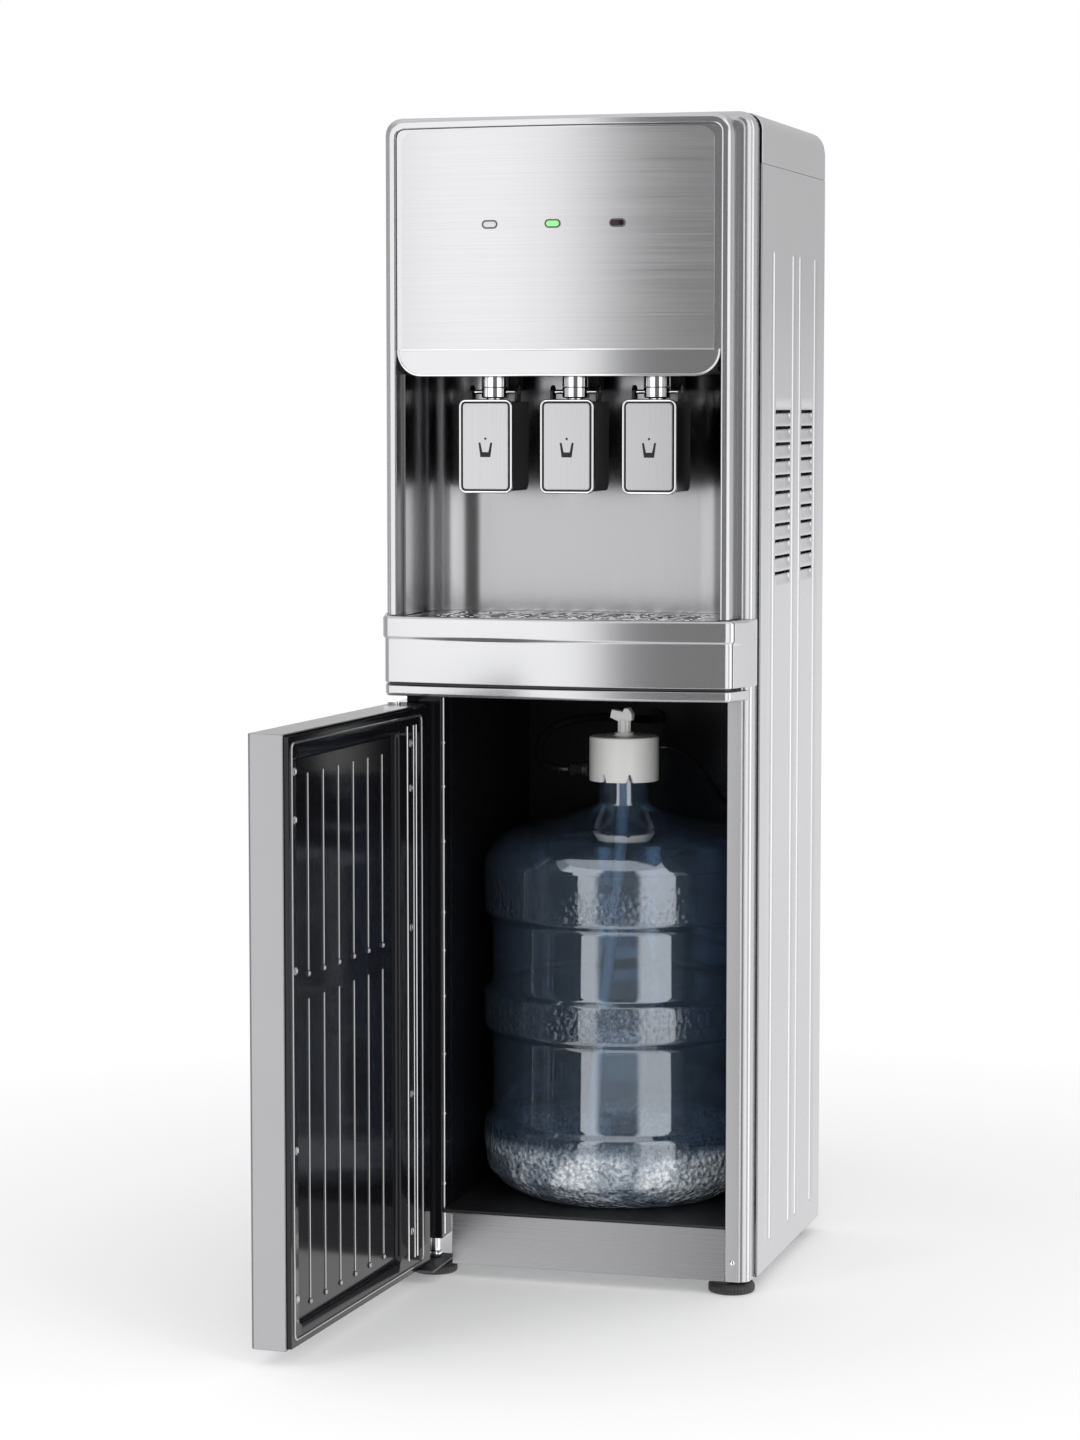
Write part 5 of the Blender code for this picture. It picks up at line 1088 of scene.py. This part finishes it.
@dataclass
class Head(Assembly):
    """Bezel, carrier with its chin, brushed panel and indicators."""

    chin_corner: float = 0.0230
    chin_end: float = 0.0005
    chin_bead: float = 0.0011
    panel_bead: float = 0.0008
    rim: float = 0.0008
    rim_out: float = 0.4
    lens_round: float = 0.999
    dome: float = 0.0010

    def build(self) -> None:
        """Makes the head's pieces."""
        self.dress("head_bezel", SILVER_MOULDING, 0.0007, follows_bow=True)
        self.dress("head_front", SILVER_MOULDING, 0.0004, follows_bow=True)
        self.dress("control_panel", BRUSHED_PANEL, 0.0003, follows_bow=True)
        self.dress("control_board", BOARD_GREEN)
        self.beads()
        for number, finish in enumerate((CLEAR_LENS, GREEN_LENS, DARK_LENS), 1):
            self.indicator(number, finish)

    def beads(self) -> None:
        """A polished bead round the chin's lower edge and a finer one under the brushed panel."""
        low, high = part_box("head_front")
        half, corner = high.x, self.chin_corner
        across, turn, end = half - corner, low.z + corner, low.z + corner + self.chin_end
        flat = in_plan(np.linspace(-across, across, 25), low.z, 0)[1:-1, :2]
        line = np.vstack([[(-half, end)], arc((-across, turn), corner, 180, 270), flat,
                          arc((across, turn), corner, 270, 360), [(half, end)]])
        x, z = inset(line, self.chin_bead, closed=False).T
        chin = tube(in_front(x, z, bowed(x, low.y)), self.chin_bead)
        low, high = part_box("control_panel")
        x = np.linspace(low.x, high.x, 33)
        edge = tube(in_front(x, low.z, bowed(x, low.y + self.panel_bead / 2)), self.panel_bead, 10, UP)
        make_piece("chin_beads", [chin, edge], CHROME)

    def indicator(self, number: int, finish: Finish) -> None:
        """A domed lens, whose outline shrinks by the cosine as it rises by the sine, in a polished rim.

        Args:
            number: 1 to 3 from the left.
            finish: the lens's finish.
        """
        node = f"indicator_{number}"
        low, high, (x, _, z) = box_of(node)
        outline = rounded(low.x, high.x, low.z, high.z, (high.z - low.z) / 2 * self.lens_round)
        rows = [in_front(*outline.T, high.y)]
        for turn in np.linspace(0, math.pi / 2, 7):
            moved = (x, z) + (outline - (x, z)) * math.cos(turn)
            rows.append(in_front(*moved.T, low.y - self.dome * math.sin(turn)))
        make_piece(f"lens_{number}", [Patch(np.stack(rows))], finish, node)
        # The rim's dark chrome is painted shade round the lens
        path = in_front(*inset(outline, -self.rim * self.rim_out).T, low.y)
        make_piece(f"lens_rim_{number}", [tube(path, self.rim, 10, closed=True)], SHADED_LENS_RIM)


@dataclass
class Alcove(Assembly):
    """Liner, ceiling, taps and push levers."""

    sheet: float = 0.0020
    corner: float = 0.0450
    face_corner: float = 0.0065
    face_edge: float = 0.0004
    rim: float = 0.0012
    line: float = 0.0007
    line_inset: float = 0.0030
    line_level: float = 0.0011
    insert_inset: float = 0.0038
    insert_levels: Span = (0.0016, 0.0006)
    pin_drop: float = 0.0155
    mark_width: float = 0.0130
    mark_height: float = 0.0130
    mark_foot: float = 0.36
    mark_wall: float = 0.0019
    mark_base: float = 0.0045
    mark_drop: Span = (0.0035, 0.0011)
    mark_share: float = 0.385
    mark_level: float = 0.0005
    mark_relief: float = 0.0004

    def build(self) -> None:
        """Makes the alcove's pieces."""
        self.liner()
        self.dress("tank_shelf", MATT_BLACK, slot="dark_paint")
        for number in (1, 2, 3):
            self.tap(number)
            self.dress(f"lever_arm_{number}", GLOSS_BLACK, 0.0010, slot="black_plastic")
            self.face(number)

    def liner(self) -> None:
        """A sheet bent in a U: straight cheeks, quarter-circle corners and a straight back, swept upwards."""
        low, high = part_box("alcove_liner")

        def plan(inward: float) -> Array:
            """The plan's line from the right front round to the left front."""
            reach, radius = high.x - inward, self.corner + self.sheet - inward
            right = arc((reach - radius, high.y - inward - radius), radius, 0, 90, 24)
            return np.vstack([[(reach, low.y)], right, (right * (-1, 1))[::-1], [(-reach, low.y)]])

        outline = np.vstack([plan(0), plan(self.sheet)[::-1]])
        grid = np.stack([in_plan(*outline.T, z) for z in np.linspace(low.z, high.z, 3)])
        make_piece("alcove_sheet", [Patch(grid)], ALCOVE_STEEL_SHADED_BACK, "alcove_liner", shade=Shade.CRISP)

    def tap(self, number: int) -> None:
        """A turned tap with a collar, a neck with two rings, a bored nozzle and its cross pin.

        Args:
            number: 1 to 3 from the left.
        """
        node = f"tap_body_{number}"
        low, high, (x, y, _) = box_of(node)
        nozzle = np.array([(0, 0.010), (0.004, 0.010), (0.004, 0.0004), (0.0044, 0), (0.0056, 0), (0.006, 0.0004),
                           (0.006, 0.024), (0.0072, 0.026), (0.0080, 0.027), (0.0080, 0.030), (0.0074, 0.0305),
                           (0.0080, 0.031)])
        collar = np.array([(0.0080, -0.0215), (0.0112, -0.021), (0.0122, -0.020), (0.0122, -0.0120),
                           (0.0118, -0.0115), (0.0122, -0.0110), (0.0122, 0), (0, 0)])
        body = turned(np.vstack([nozzle + (0, low.z), collar + (0, high.z)]), (x, y, 0), segments=48)
        half = (high.x - low.x) / 2
        pin = np.array([(0, -half), (0.0015, -half), (0.002, 0.0005 - half), (0.002, half - 0.0005), (0.0015, half),
                        (0, half)])
        across = turned(pin, (x, y, high.z - self.pin_drop), in_side, 20)
        make_piece(f"tap_{number}", [body, across], CHROME, node, shade=Shade.CRISP)

    def face(self, number: int) -> None:
        """A lever's face: polished tray with a rolled rim, a thin dark line, a brushed insert and a cup mark.

        Args:
            number: 1 to 3 from the left.
        """
        node, body = f"lever_face_{number}", f"lever_{number}"
        low, high, (x, _, _) = box_of(node)
        front = low.y
        outline = rounded(low.x, high.x, low.z, high.z, self.face_corner)

        def ring(distance: float, radius: float, level: float) -> Patch:
            """A thin closed bead along the outline, moved in by a distance."""
            return tube(in_front(*inset(outline, distance).T, level), radius, 10, closed=True)

        bright = [plate(outline, high.y, front + self.rim, self.face_edge), ring(self.rim, self.rim, front + self.rim)]
        make_piece(f"face_rim_{number}", bright, CHROME, node, body)
        dark = [ring(self.line_inset, self.line, front + self.line_level)]
        make_piece(f"face_lines_{number}", dark, MATT_BLACK, body=body)
        back, face = self.insert_levels
        insert = [plate(inset(outline, self.insert_inset), front + back, front + face, self.face_edge)]
        make_piece(f"face_insert_{number}", insert, LEVER_STEEL, body=body, shade=Shade.CRISP)
        self.mark(number, x, low.z + (high.z - low.z) * self.mark_share, front + self.mark_level)

    def mark(self, number: int, x: float, z: float, level: float) -> None:
        """A plain tumbler as a thin relief: a tapered cup with an open top, and a drop over it.

        Args:
            number: the lever's number.
            x: the mark's middle.
            z: its lower edge.
            level: world Y of its face.
        """
        top, foot, high = self.mark_width / 2, self.mark_width * self.mark_foot, self.mark_height
        wall, base, (rise, radius) = self.mark_wall, self.mark_base, self.mark_drop
        cup = [(-foot, 0), (foot, 0), (top, high), (top - wall, high), (foot - wall, base), (wall - foot, base),
               (wall - top, high), (-top, high)]
        drop = arc((0, high + rise), radius, 0, 360)[:-1]
        shapes = [plate(outline + (x, z), level + self.mark_relief, level, self.mark_relief / 4)
                  for outline in (np.array(cup), drop)]
        make_piece(f"face_mark_{number}", shapes, MATT_BLACK, body=f"lever_{number}", shade=Shade.CRISP)


@dataclass
class Band(Assembly):
    """The bowed band below the alcove, with tray and grille."""

    def build(self) -> None:
        """Makes the band's pieces."""
        for node in ("apron", "band_corner_left", "band_corner_right", "band_strip"):
            self.dress(node, SILVER_MOULDING, follows_bow=True)
        self.dress("tray_deck", DARK_PAINT)
        self.dress("drip_tray", GRAIN_BLACK, 0.0005)
        self.dress("drip_grille", GRILLE_SHADED_CURLS)


@dataclass
class Door(Assembly):
    """The open door: silver skin, black liner, its ribs, border bead, edge strips and screw bosses.

    Its sizes are those of the closed door's own plan: along it from the hinge, through it, and up.
    """

    open_turn: float = math.radians(92.5)
    hinge_x: float = -0.1490
    hinge_depth: float = -0.0270
    crest: float = 0.0252
    low: float = 0.0155
    high: float = 0.5245
    free: float = 0.3145
    border: float = 0.0160
    field_left: float = 0.0600
    field_corner: float = 0.0060
    field_depth: float = 0.0040
    edge_left: float = -0.0130
    edge_line: float = 0.001
    wall: float = 0.0030
    back: float = 0.0205
    split_share: float = 0.415
    rib_count: int = 7
    rib: float = 0.0010
    rib_margins: tuple[float, float, float] = (0.032, 0.012, 0.034)
    knob: Span = (0.0024, 0.0016)
    knob_drop: float = 0.003
    bead: float = 0.0012
    bead_margin: float = 0.006
    strips: tuple[Span, ...] = ((0.0200, 0.0010), (0.0265, 0.0008), (0.0420, 0.0010))
    strip_margin: float = 0.014
    screw_boss: Span = (0.0036, 0.0013)
    boss_margins: Span = (0.012, 0.034)
    boss_heights: tuple[float, ...] = (0.055, 0.180, 0.330, 0.455, 0.495)

    def build(self) -> None:
        """Makes the door's pieces."""
        # The door skin's darker silver is painted shade
        self.dress("door_skin", SHADED_DOOR_PAINT)
        self.liner()
        self.ribs()
        self.trim()

    def hung(self, points: Array) -> Array:
        """Points of the closed door's own plan, turned open about the hinge pin.

        Args:
            points: rows of (along the door, through the door, height).

        Returns:
            The same points in the world.
        """
        cos, sin = math.cos(-self.open_turn), math.sin(-self.open_turn)
        along, through = points[..., 0], points[..., 1]
        x = self.hinge_x + along * cos - through * sin
        y = behind(self.hinge_depth) + along * sin + through * cos
        return np.stack([x, y, points[..., 2]], axis=-1)

    def bar(self, along: float, level: float, bottom: float, top: float, radius: float) -> Patch:
        """A straight upright bar on the door, from bottom to top."""
        return Patch(self.hung(tube([(along, level, bottom), (along, level, top)], radius).grid))

    def boss(self, along: float, height: float, size: Span, level: float) -> Patch:
        """A round boss with a soft rim and a dished middle, standing on the liner.

        Args:
            along: distance from the hinge.
            height: world Z.
            size: its radius and how far it stands up.
            level: where it stands, through the door.

        Returns:
            The patch.
        """
        radius, rise = size
        line = softened(np.array([(0, rise * 0.3), (radius * 0.55, rise * 0.3), (radius * 0.7, rise),
                                  (radius, rise * 0.8), (radius, -0.0005), (0, -0.0005)]), radius * 0.15, 2)
        patch = turned(line, (along, level, height), in_front, 28)
        return Patch(self.hung(patch.grid), capped=False)

    def liner(self) -> None:
        """The liner: a raised border whose inner wall falls by a smooth step of the distance to a rounded field."""
        crowd = np.linspace(0, self.wall, 6)
        spans = ((self.field_left, self.free - self.border, self.edge_left, self.free, 9),
                 (self.low + self.border, self.high - self.border, self.low, self.high, 15))
        lines = []
        for start, end, first, last, count in spans:
            places = [(first, last, first + self.edge_line, last - self.edge_line), np.linspace(start, end, count),
                      start + crowd, end - crowd, self.field_corner + start + crowd, end - self.field_corner - crowd]
            lines.append(np.unique(np.concatenate(places).round(5)))
        u, z = np.meshgrid(*lines, indexing="ij")
        past = [np.abs(value - (start + end) / 2) - (end - start) / 2 + self.field_corner
                for value, (start, end, *_) in zip((u, z), spans)]
        away = np.hypot(np.maximum(past[0], 0), np.maximum(past[1], 0)) + np.minimum(np.maximum(*past), 0)
        sunk = self.field_depth * (1 - blend_in(away - self.field_corner, -self.wall, 0))
        front = np.stack([u, self.crest - sunk, z], axis=-1)
        back = front.copy()
        back[..., 1] = self.back
        rim = np.pad(front, ((1, 1), (1, 1), (0, 0)), mode="edge")
        rim[[0, -1], :, 1] = rim[:, [0, -1], 1] = self.back
        patches = [Patch(self.hung(grid), round=False, capped=False) for grid in (rim, back[::-1])]
        make_piece("door_liner_panel", patches, GLOSS_BLACK, "door_liner", "door")

    def ribs(self) -> None:
        """Two rows of slim round-topped ribs with a small knob at the foot of each."""
        split = self.high - self.split_share * (self.high - self.low)
        level = self.crest - self.field_depth
        pitch = (self.free - self.border - self.field_left) / self.rib_count
        low, middle, high = self.rib_margins
        patches = []
        for bottom, top in ((self.low + low, split - middle), (split + middle, self.high - high)):
            for number in range(1, self.rib_count):
                along = self.field_left + number * pitch
                patches += [self.bar(along, level, bottom, top, self.rib),
                            self.boss(along, bottom - self.knob_drop, self.knob, level)]
        # Painted highlight: the black gloss ribs and knobs are coloured metallic grey
        make_piece("door_ribs", patches, RIB_PAINTED_HIGHLIGHT, body="door")

    def trim(self) -> None:
        """A bead round the liner, upright strips beside the hinge, and screw bosses along both sides."""
        edge = self.bead_margin
        outline = rounded(edge, self.free - edge, self.low + edge, self.high - edge, edge, 6)
        bead = tube(in_front(*outline.T, self.crest), self.bead, 10, closed=True)
        strips = [self.bar(along, self.crest, self.low + self.strip_margin, self.high - self.strip_margin, radius)
                  for along, radius in self.strips]
        # Painted highlight: the black gloss strips are coloured near-chrome
        make_piece("door_highlight_strips", strips, PAINTED_HIGHLIGHT_EDGE, body="door")
        free, hinge = self.boss_margins
        bosses = [self.boss(along, height, self.screw_boss, self.crest)
                  for along in (self.free - free, hinge) for height in self.boss_heights]
        # Painted highlight: bead and bosses in the ribs' metallic grey
        make_piece("door_trim", [Patch(self.hung(bead.grid), ring=True), *bosses], RIB_PAINTED_HIGHLIGHT, body="door")


@dataclass
class Bay(Assembly):
    """The bottle bay's liner, floor and hinge jamb with its beaded edge."""

    edge: float = 0.0012
    edge_depth: float = 0.0060
    edge_margin: float = 0.004
    knob: float = 0.0024
    knob_places: tuple[float, ...] = (0.085, 0.150, 0.205, 0.258, 0.300, 0.335, 0.400, 0.450, 0.490)

    def build(self) -> None:
        """Makes the bay's pieces."""
        self.dress("bay_liner", SATIN_BLACK, 0.0008)
        self.dress("bay_floor", GRAIN_BLACK, 0.0005)
        self.dress("hinge_jamb", GLOSS_BLACK, 0.0010)
        low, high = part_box("hinge_jamb")
        x, y = high.x, low.y + self.edge_depth
        bead = tube([(x, y, low.z + self.edge_margin), (x, y, high.z - self.edge_margin)], self.edge)
        ring = [(self.edge * 0.9, -0.0014), (self.knob * 0.8, -0.0012), (self.knob, 0), (self.knob * 0.8, 0.0012),
                (self.edge * 0.9, 0.0014)]
        knobs = [turned(ring, (x, y, z), segments=20, ring=True) for z in self.knob_places]
        # Painted highlight: the jamb's black gloss bead and knobs in near-chrome
        make_piece("jamb_bead", [bead, *knobs], PAINTED_HIGHLIGHT_EDGE)


@dataclass
class Bottle(Assembly):
    """Bottle, probe cap with stem and clip, intake tube, connector, suction hose and sensor cable."""

    wall: float = 0.0018
    neck: float = 0.0240
    shoulder: float = 0.0580
    base_flat: float = 0.0980
    push_in: float = 0.0090
    ring_rise: float = 0.0075
    ring_slope: float = 0.0070
    rings: tuple[Span, ...] = ((0.046, 0.074), (0.157, 0.196), (0.264, 0.310))
    shoulder_rise: float = 0.0340
    neck_rise: float = 0.0530
    segments: int = 144
    hammered_base: Span = (0.016, 0.006)
    hammered_ring: tuple[float, float, float] = (0.004, 0.010, 0.005)
    ring_soft: float = 0.0020
    shoulder_soft: float = 0.0200
    crown_rise: float = 0.0415
    cap_wall: float = 0.0055
    cap_hollow: float = 0.0170
    cap_segments: int = 180
    notches: tuple[Span, ...] = ((-112.0, 9.0), (-66.0, 8.0), (20.0, 9.0), (110.0, 9.0), (170.0, 8.0))
    notch: float = 0.0075
    notch_edge: float = 1.5
    stem: float = 0.0058
    stem_heights: Span = (0.002, 0.0155)
    stem_flutes: int = 10
    stem_flute: float = 0.0004
    stem_segments: int = 96
    clip_half: float = 0.005
    clip_drop: float = 0.0120
    clip_edge: float = 0.0008
    tube_radius: float = 0.0058
    tube_lean: float = 0.0300
    tube_rings: int = 40
    barbs: int = 4
    barb_pitch: float = 0.0030
    hose_radius: float = 0.0040
    cable_radius: float = 0.0020
    hose_route: tuple[Point, ...] = (
        (-0.0350, 0.1360, 0.4560), (-0.0450, 0.1360, 0.4560), (-0.0600, 0.1410, 0.4600), (-0.0680, 0.1520, 0.4740),
        (-0.0620, 0.1680, 0.4900), (-0.0420, 0.1860, 0.4980), (-0.0150, 0.2100, 0.4990), (0.0080, 0.2400, 0.4950),
        (0.0120, 0.2620, 0.4930), (0.0120, 0.2752, 0.4930))
    cable_route: tuple[Point, ...] = (
        (0.0490, 0.1520, 0.4770), (0.0590, 0.1570, 0.4760), (0.0730, 0.1700, 0.4660), (0.0860, 0.1900, 0.4450),
        (0.0930, 0.2200, 0.4230), (0.0960, 0.2560, 0.4110), (0.0960, 0.2752, 0.4100))

    def build(self) -> None:
        """Makes the bottle and what goes into it."""
        self.lines()
        self.shell()
        self.cap()
        self.tube()
        self.connector()

    def outer_line(self) -> Array:
        """The bottle's outer profile as (radius, height), its corners cut soft.

        Returns:
            The profile from the middle of the base up to the mouth.
        """
        low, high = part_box("water_bottle")
        ring = (high.y - low.y) / 2
        waist, slope, rise = ring - self.ring_rise, self.ring_slope, self.shoulder_rise
        (base_low, base_top), (mid_low, mid_top), (top_low, top) = self.rings
        points = [(0.0, self.push_in), (self.base_flat / 2, self.push_in), (self.base_flat * 0.9, 0.0),
                  (self.base_flat, 0.0), ((self.base_flat + ring) / 2, base_low * 0.2),
                  (ring * 0.975, base_low * 0.5), (ring, base_low), (ring, base_top - slope), (waist, base_top),
                  (waist, mid_low - slope), (ring, mid_low), (ring, mid_top - slope), (waist, mid_top),
                  (waist, top_low - slope), (ring, top_low), (ring, top), (ring * 0.985, top + rise * 0.16),
                  (ring * 0.89, top + rise * 0.66), (ring * 0.72, top + rise * 0.95),
                  (self.shoulder * 0.95, top + rise * 1.14), (self.neck * 1.12, top + self.neck_rise * 0.96),
                  (self.neck, top + self.neck_rise * 1.02), (self.neck, high.z - low.z)]
        shoulder_starts = points.index((ring, top))
        rings = softened(np.array(points[:shoulder_starts + 1]), self.ring_soft)
        shoulder = softened(np.array(points[shoulder_starts:]), self.shoulder_soft, 4)
        return np.vstack([rings, shoulder[1:]])

    def shell(self) -> None:
        """The bottle: its outer profile and the same line moved in by the wall, turned as one closed surface."""
        low, _, (x, y, _) = box_of("water_bottle")
        outer = self.outer_line()
        inner = inset(outer, self.wall, closed=False)
        inner[:, 0] = np.maximum(inner[:, 0], 0)
        patch = turned(np.vstack([outer, inner[::-1]]), (x, y, low.z), segments=self.segments)
        piece = make_piece("bottle_shell", [patch], BOTTLE_BLUE, "water_bottle", "bottle", Shade.ROUND)
        height = read(piece.data.vertices, "co", 3)[:, 2] - low.z
        (_, base_top), *rings = self.rings
        hammered = 2 - 2 * blend_in(height, *(base_top - below for below in self.hammered_base))
        rise, fall, clear = self.hammered_ring
        for start, end in rings:
            hammered += blend_in(height, start, start + rise) * (1 - blend_in(height, end - fall, end - clear))
        attribute = piece.data.attributes.new(BOTTLE_BLUE.attribute, "FLOAT", "POINT")
        attribute.data.foreach_set("value", hammered.astype(np.float32))

    def cap(self) -> None:
        """A turned cap whose lower rim rises by a smooth step at each notch, a fluted stem and a tilted clip."""
        low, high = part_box("probe_cap")
        x, y, _ = box_of("water_bottle")[2]
        radius, bottom = (high.x - low.x) / 2, low.z
        crown, inner = bottom + self.crown_rise, radius - self.cap_wall
        roof = crown - self.cap_hollow
        line = np.array([(0, roof), (inner, roof), (inner, bottom), (radius - 0.0004, bottom),
                         (radius, bottom + 0.0004), (radius, crown - 0.0022), (radius - 0.0006, crown - 0.0007),
                         (radius - 0.0020, crown), (0.0125, crown), (0.0120, crown - 0.0012),
                         (0.0100, crown - 0.0012), (0.0090, crown), (0.0090, crown + 0.0026),
                         (0.0086, crown + 0.0030), (0.0, crown + 0.0030)])
        patch = turned(line, (x, y, 0), segments=self.cap_segments)
        turns = np.degrees(np.arange(self.cap_segments) * math.tau / self.cap_segments)
        lift = np.zeros(self.cap_segments)
        for place, width in self.notches:
            gap = np.abs((turns - place + 180) % 360 - 180)
            lift = np.maximum(lift, 1 - blend_in(gap, width / 2 - self.notch_edge, width / 2 + self.notch_edge))
        patch.grid[2:5, :, 2] += self.notch * lift
        turn = np.arange(self.stem_segments) * math.tau / self.stem_segments
        reach = self.stem + self.stem_flute * np.cos(self.stem_flutes * turn)
        heights = crown + np.array(self.stem_heights)[:, None]
        stem = Patch(in_plan(x + reach * np.cos(turn), y + reach * np.sin(turn), heights))
        clip = np.array([(-0.0126, 0.0030), (-0.0060, 0.0), (0.0084, 0.0006), (0.0084, 0.0066), (0.0050, 0.0118),
                         (0.0012, 0.0118), (-0.0006, 0.0086), (-0.0108, 0.0106)])
        block = plate(clip + (x, high.z - self.clip_drop), y + self.clip_half, y - self.clip_half, self.clip_edge)
        make_piece("cap_shell", [patch, stem, block], WHITE_PLASTIC, "probe_cap", "bottle", Shade.CRISP)

    def tube(self) -> None:
        """The intake tube: straight down while it leans left by half a cosine, with a wider foot."""
        low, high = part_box("intake_tube")
        x, y, _ = box_of("water_bottle")[2]
        part = np.linspace(0, 1, self.tube_rings)
        lean = self.tube_lean * (1 - np.cos(math.pi * part)) / 2
        path = in_plan(x - lean, y, high.z + (low.z - high.z) * part)
        line = np.array([(0.0, 0.0), (0.0088, 0.0), (0.0094, 0.0010), (0.0094, 0.0120), (0.0070, 0.0165),
                         (0.0050, 0.0180), (0.0, 0.0180)])
        foot = turned(softened(line, 0.001, 2), (x - self.tube_lean, y, low.z), segments=32)
        make_piece("probe_tube", [tube(path, self.tube_radius, 20), foot], PALE_TUBE, "intake_tube", "bottle")

    def connector(self) -> None:
        """The hose connector: a barbed collar turned about the X axis."""
        low, high, (_, y, z) = box_of("hose_connector")
        radius = (high.z - low.z) / 2
        line = [(0, low.x)]
        for number in range(self.barbs):
            start = low.x + number * self.barb_pitch
            line += [(radius * 0.72, start), (radius * 0.92, start + 0.0024)]
        line += [(radius * 0.72, low.x + 0.0122), (radius, low.x + 0.0128), (radius, high.x - 0.0004),
                 (radius * 0.94, high.x), (0, high.x)]
        make_piece("connector_barbed", [turned(line, (0, y, z), in_side, 40)], GRAIN_BLACK, "hose_connector",
                   "bottle", Shade.CRISP)

    def lines(self) -> None:
        """The suction hose and the sensor cable as tubes on smooth routes, fixed in place on no body."""
        for node, route, radius in (("suction_hose", self.hose_route, self.hose_radius),
                                    ("sensor_cable", self.cable_route, self.cable_radius)):
            world = [(x, behind(depth), z) for x, depth, z in route]
            path = smooth_line(world)
            piece = make_piece(node + "_line", [tube(path, radius, 16, UP)], HOSE_BLACK, node, "")
            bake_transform(piece)


@dataclass
class Works(Assembly):
    """What the cabinet holds inside and at its back."""

    condenser_runs: int = 11
    lid_rise: float = 0.020
    lid_steps: int = 9

    def build(self) -> None:
        """Makes the cooling parts, switches and inlet."""
        self.condenser()
        for node, finish in (("compressor", DARK_PAINT), ("cold_tank", GALVANISED), ("hot_tank", SHADED_BRUSHED_KICK)):
            self.can(node, finish)
        self.dress("water_pump", DARK_PAINT)
        for node in ("switch_plate", "switch_hot", "switch_cold"):
            self.dress(node, GRAIN_BLACK, 0.0005)
        self.dress("power_inlet", GRAIN_BLACK, 0.0003)

    def condenser(self) -> None:
        """The condenser: one tube that runs across and back, its bends half circles."""
        low, high, (_, y, _) = box_of("condenser")
        radius = (high.y - low.y) / 2
        pitch = (high.z - low.z - 2 * radius) / (self.condenser_runs - 1)
        half = high.x - radius - pitch / 2
        rows = []
        for run in range(self.condenser_runs):
            z, side = low.z + radius + run * pitch, (1 if run % 2 else -1)
            rows.append([(side * half, z), (-side * half, z)])
            if run < self.condenser_runs - 1:
                rows.append(arc((half, z + pitch / 2), pitch / 2, 270, 450)[1:-1] * (-side, 1))
        path = in_front(*np.vstack(rows).T, y)
        make_piece("condenser_coil", [tube(path, radius)], DARK_PAINT, "condenser")

    def can(self, node: str, finish: Finish) -> None:
        """A turned can with a seam ring and a lid that rises by a quarter sine.

        Args:
            node: the CAD node that it stands for.
            finish: its finish.
        """
        low, high, (x, y, _) = box_of(node)
        radius, height = (high.x - low.x) / 2, high.z - low.z
        turns, rise = np.linspace(0, math.pi / 2, self.lid_steps + 1), self.lid_rise
        lid = np.stack([(radius - 0.001) * np.cos(turns), height - rise + rise * np.sin(turns)], axis=-1)
        side = [(0, 0), (radius - 0.002, 0), (radius, 0.002), (radius, height * 0.5 - 0.003),
                (radius - 0.001, height * 0.5), (radius, height * 0.5 + 0.003), (radius, height - 0.022)]
        line = np.vstack([side, lid[:-1], [(0, height)]])
        make_piece(node + "_can", [turned(line, (x, y, low.z), segments=72)], finish, node)


def main() -> None:
    """Builds stage and sub-assemblies in order."""
    logging.basicConfig(level=logging.INFO)
    for assembly in (Stage(), Bottle(), Bay(), Cabinet(), Head(), Alcove(), Band(), Door(), Works()):
        assembly.build()
        LOG.info("%s done", type(assembly).__name__)


if __name__ == "__main__":
    main()
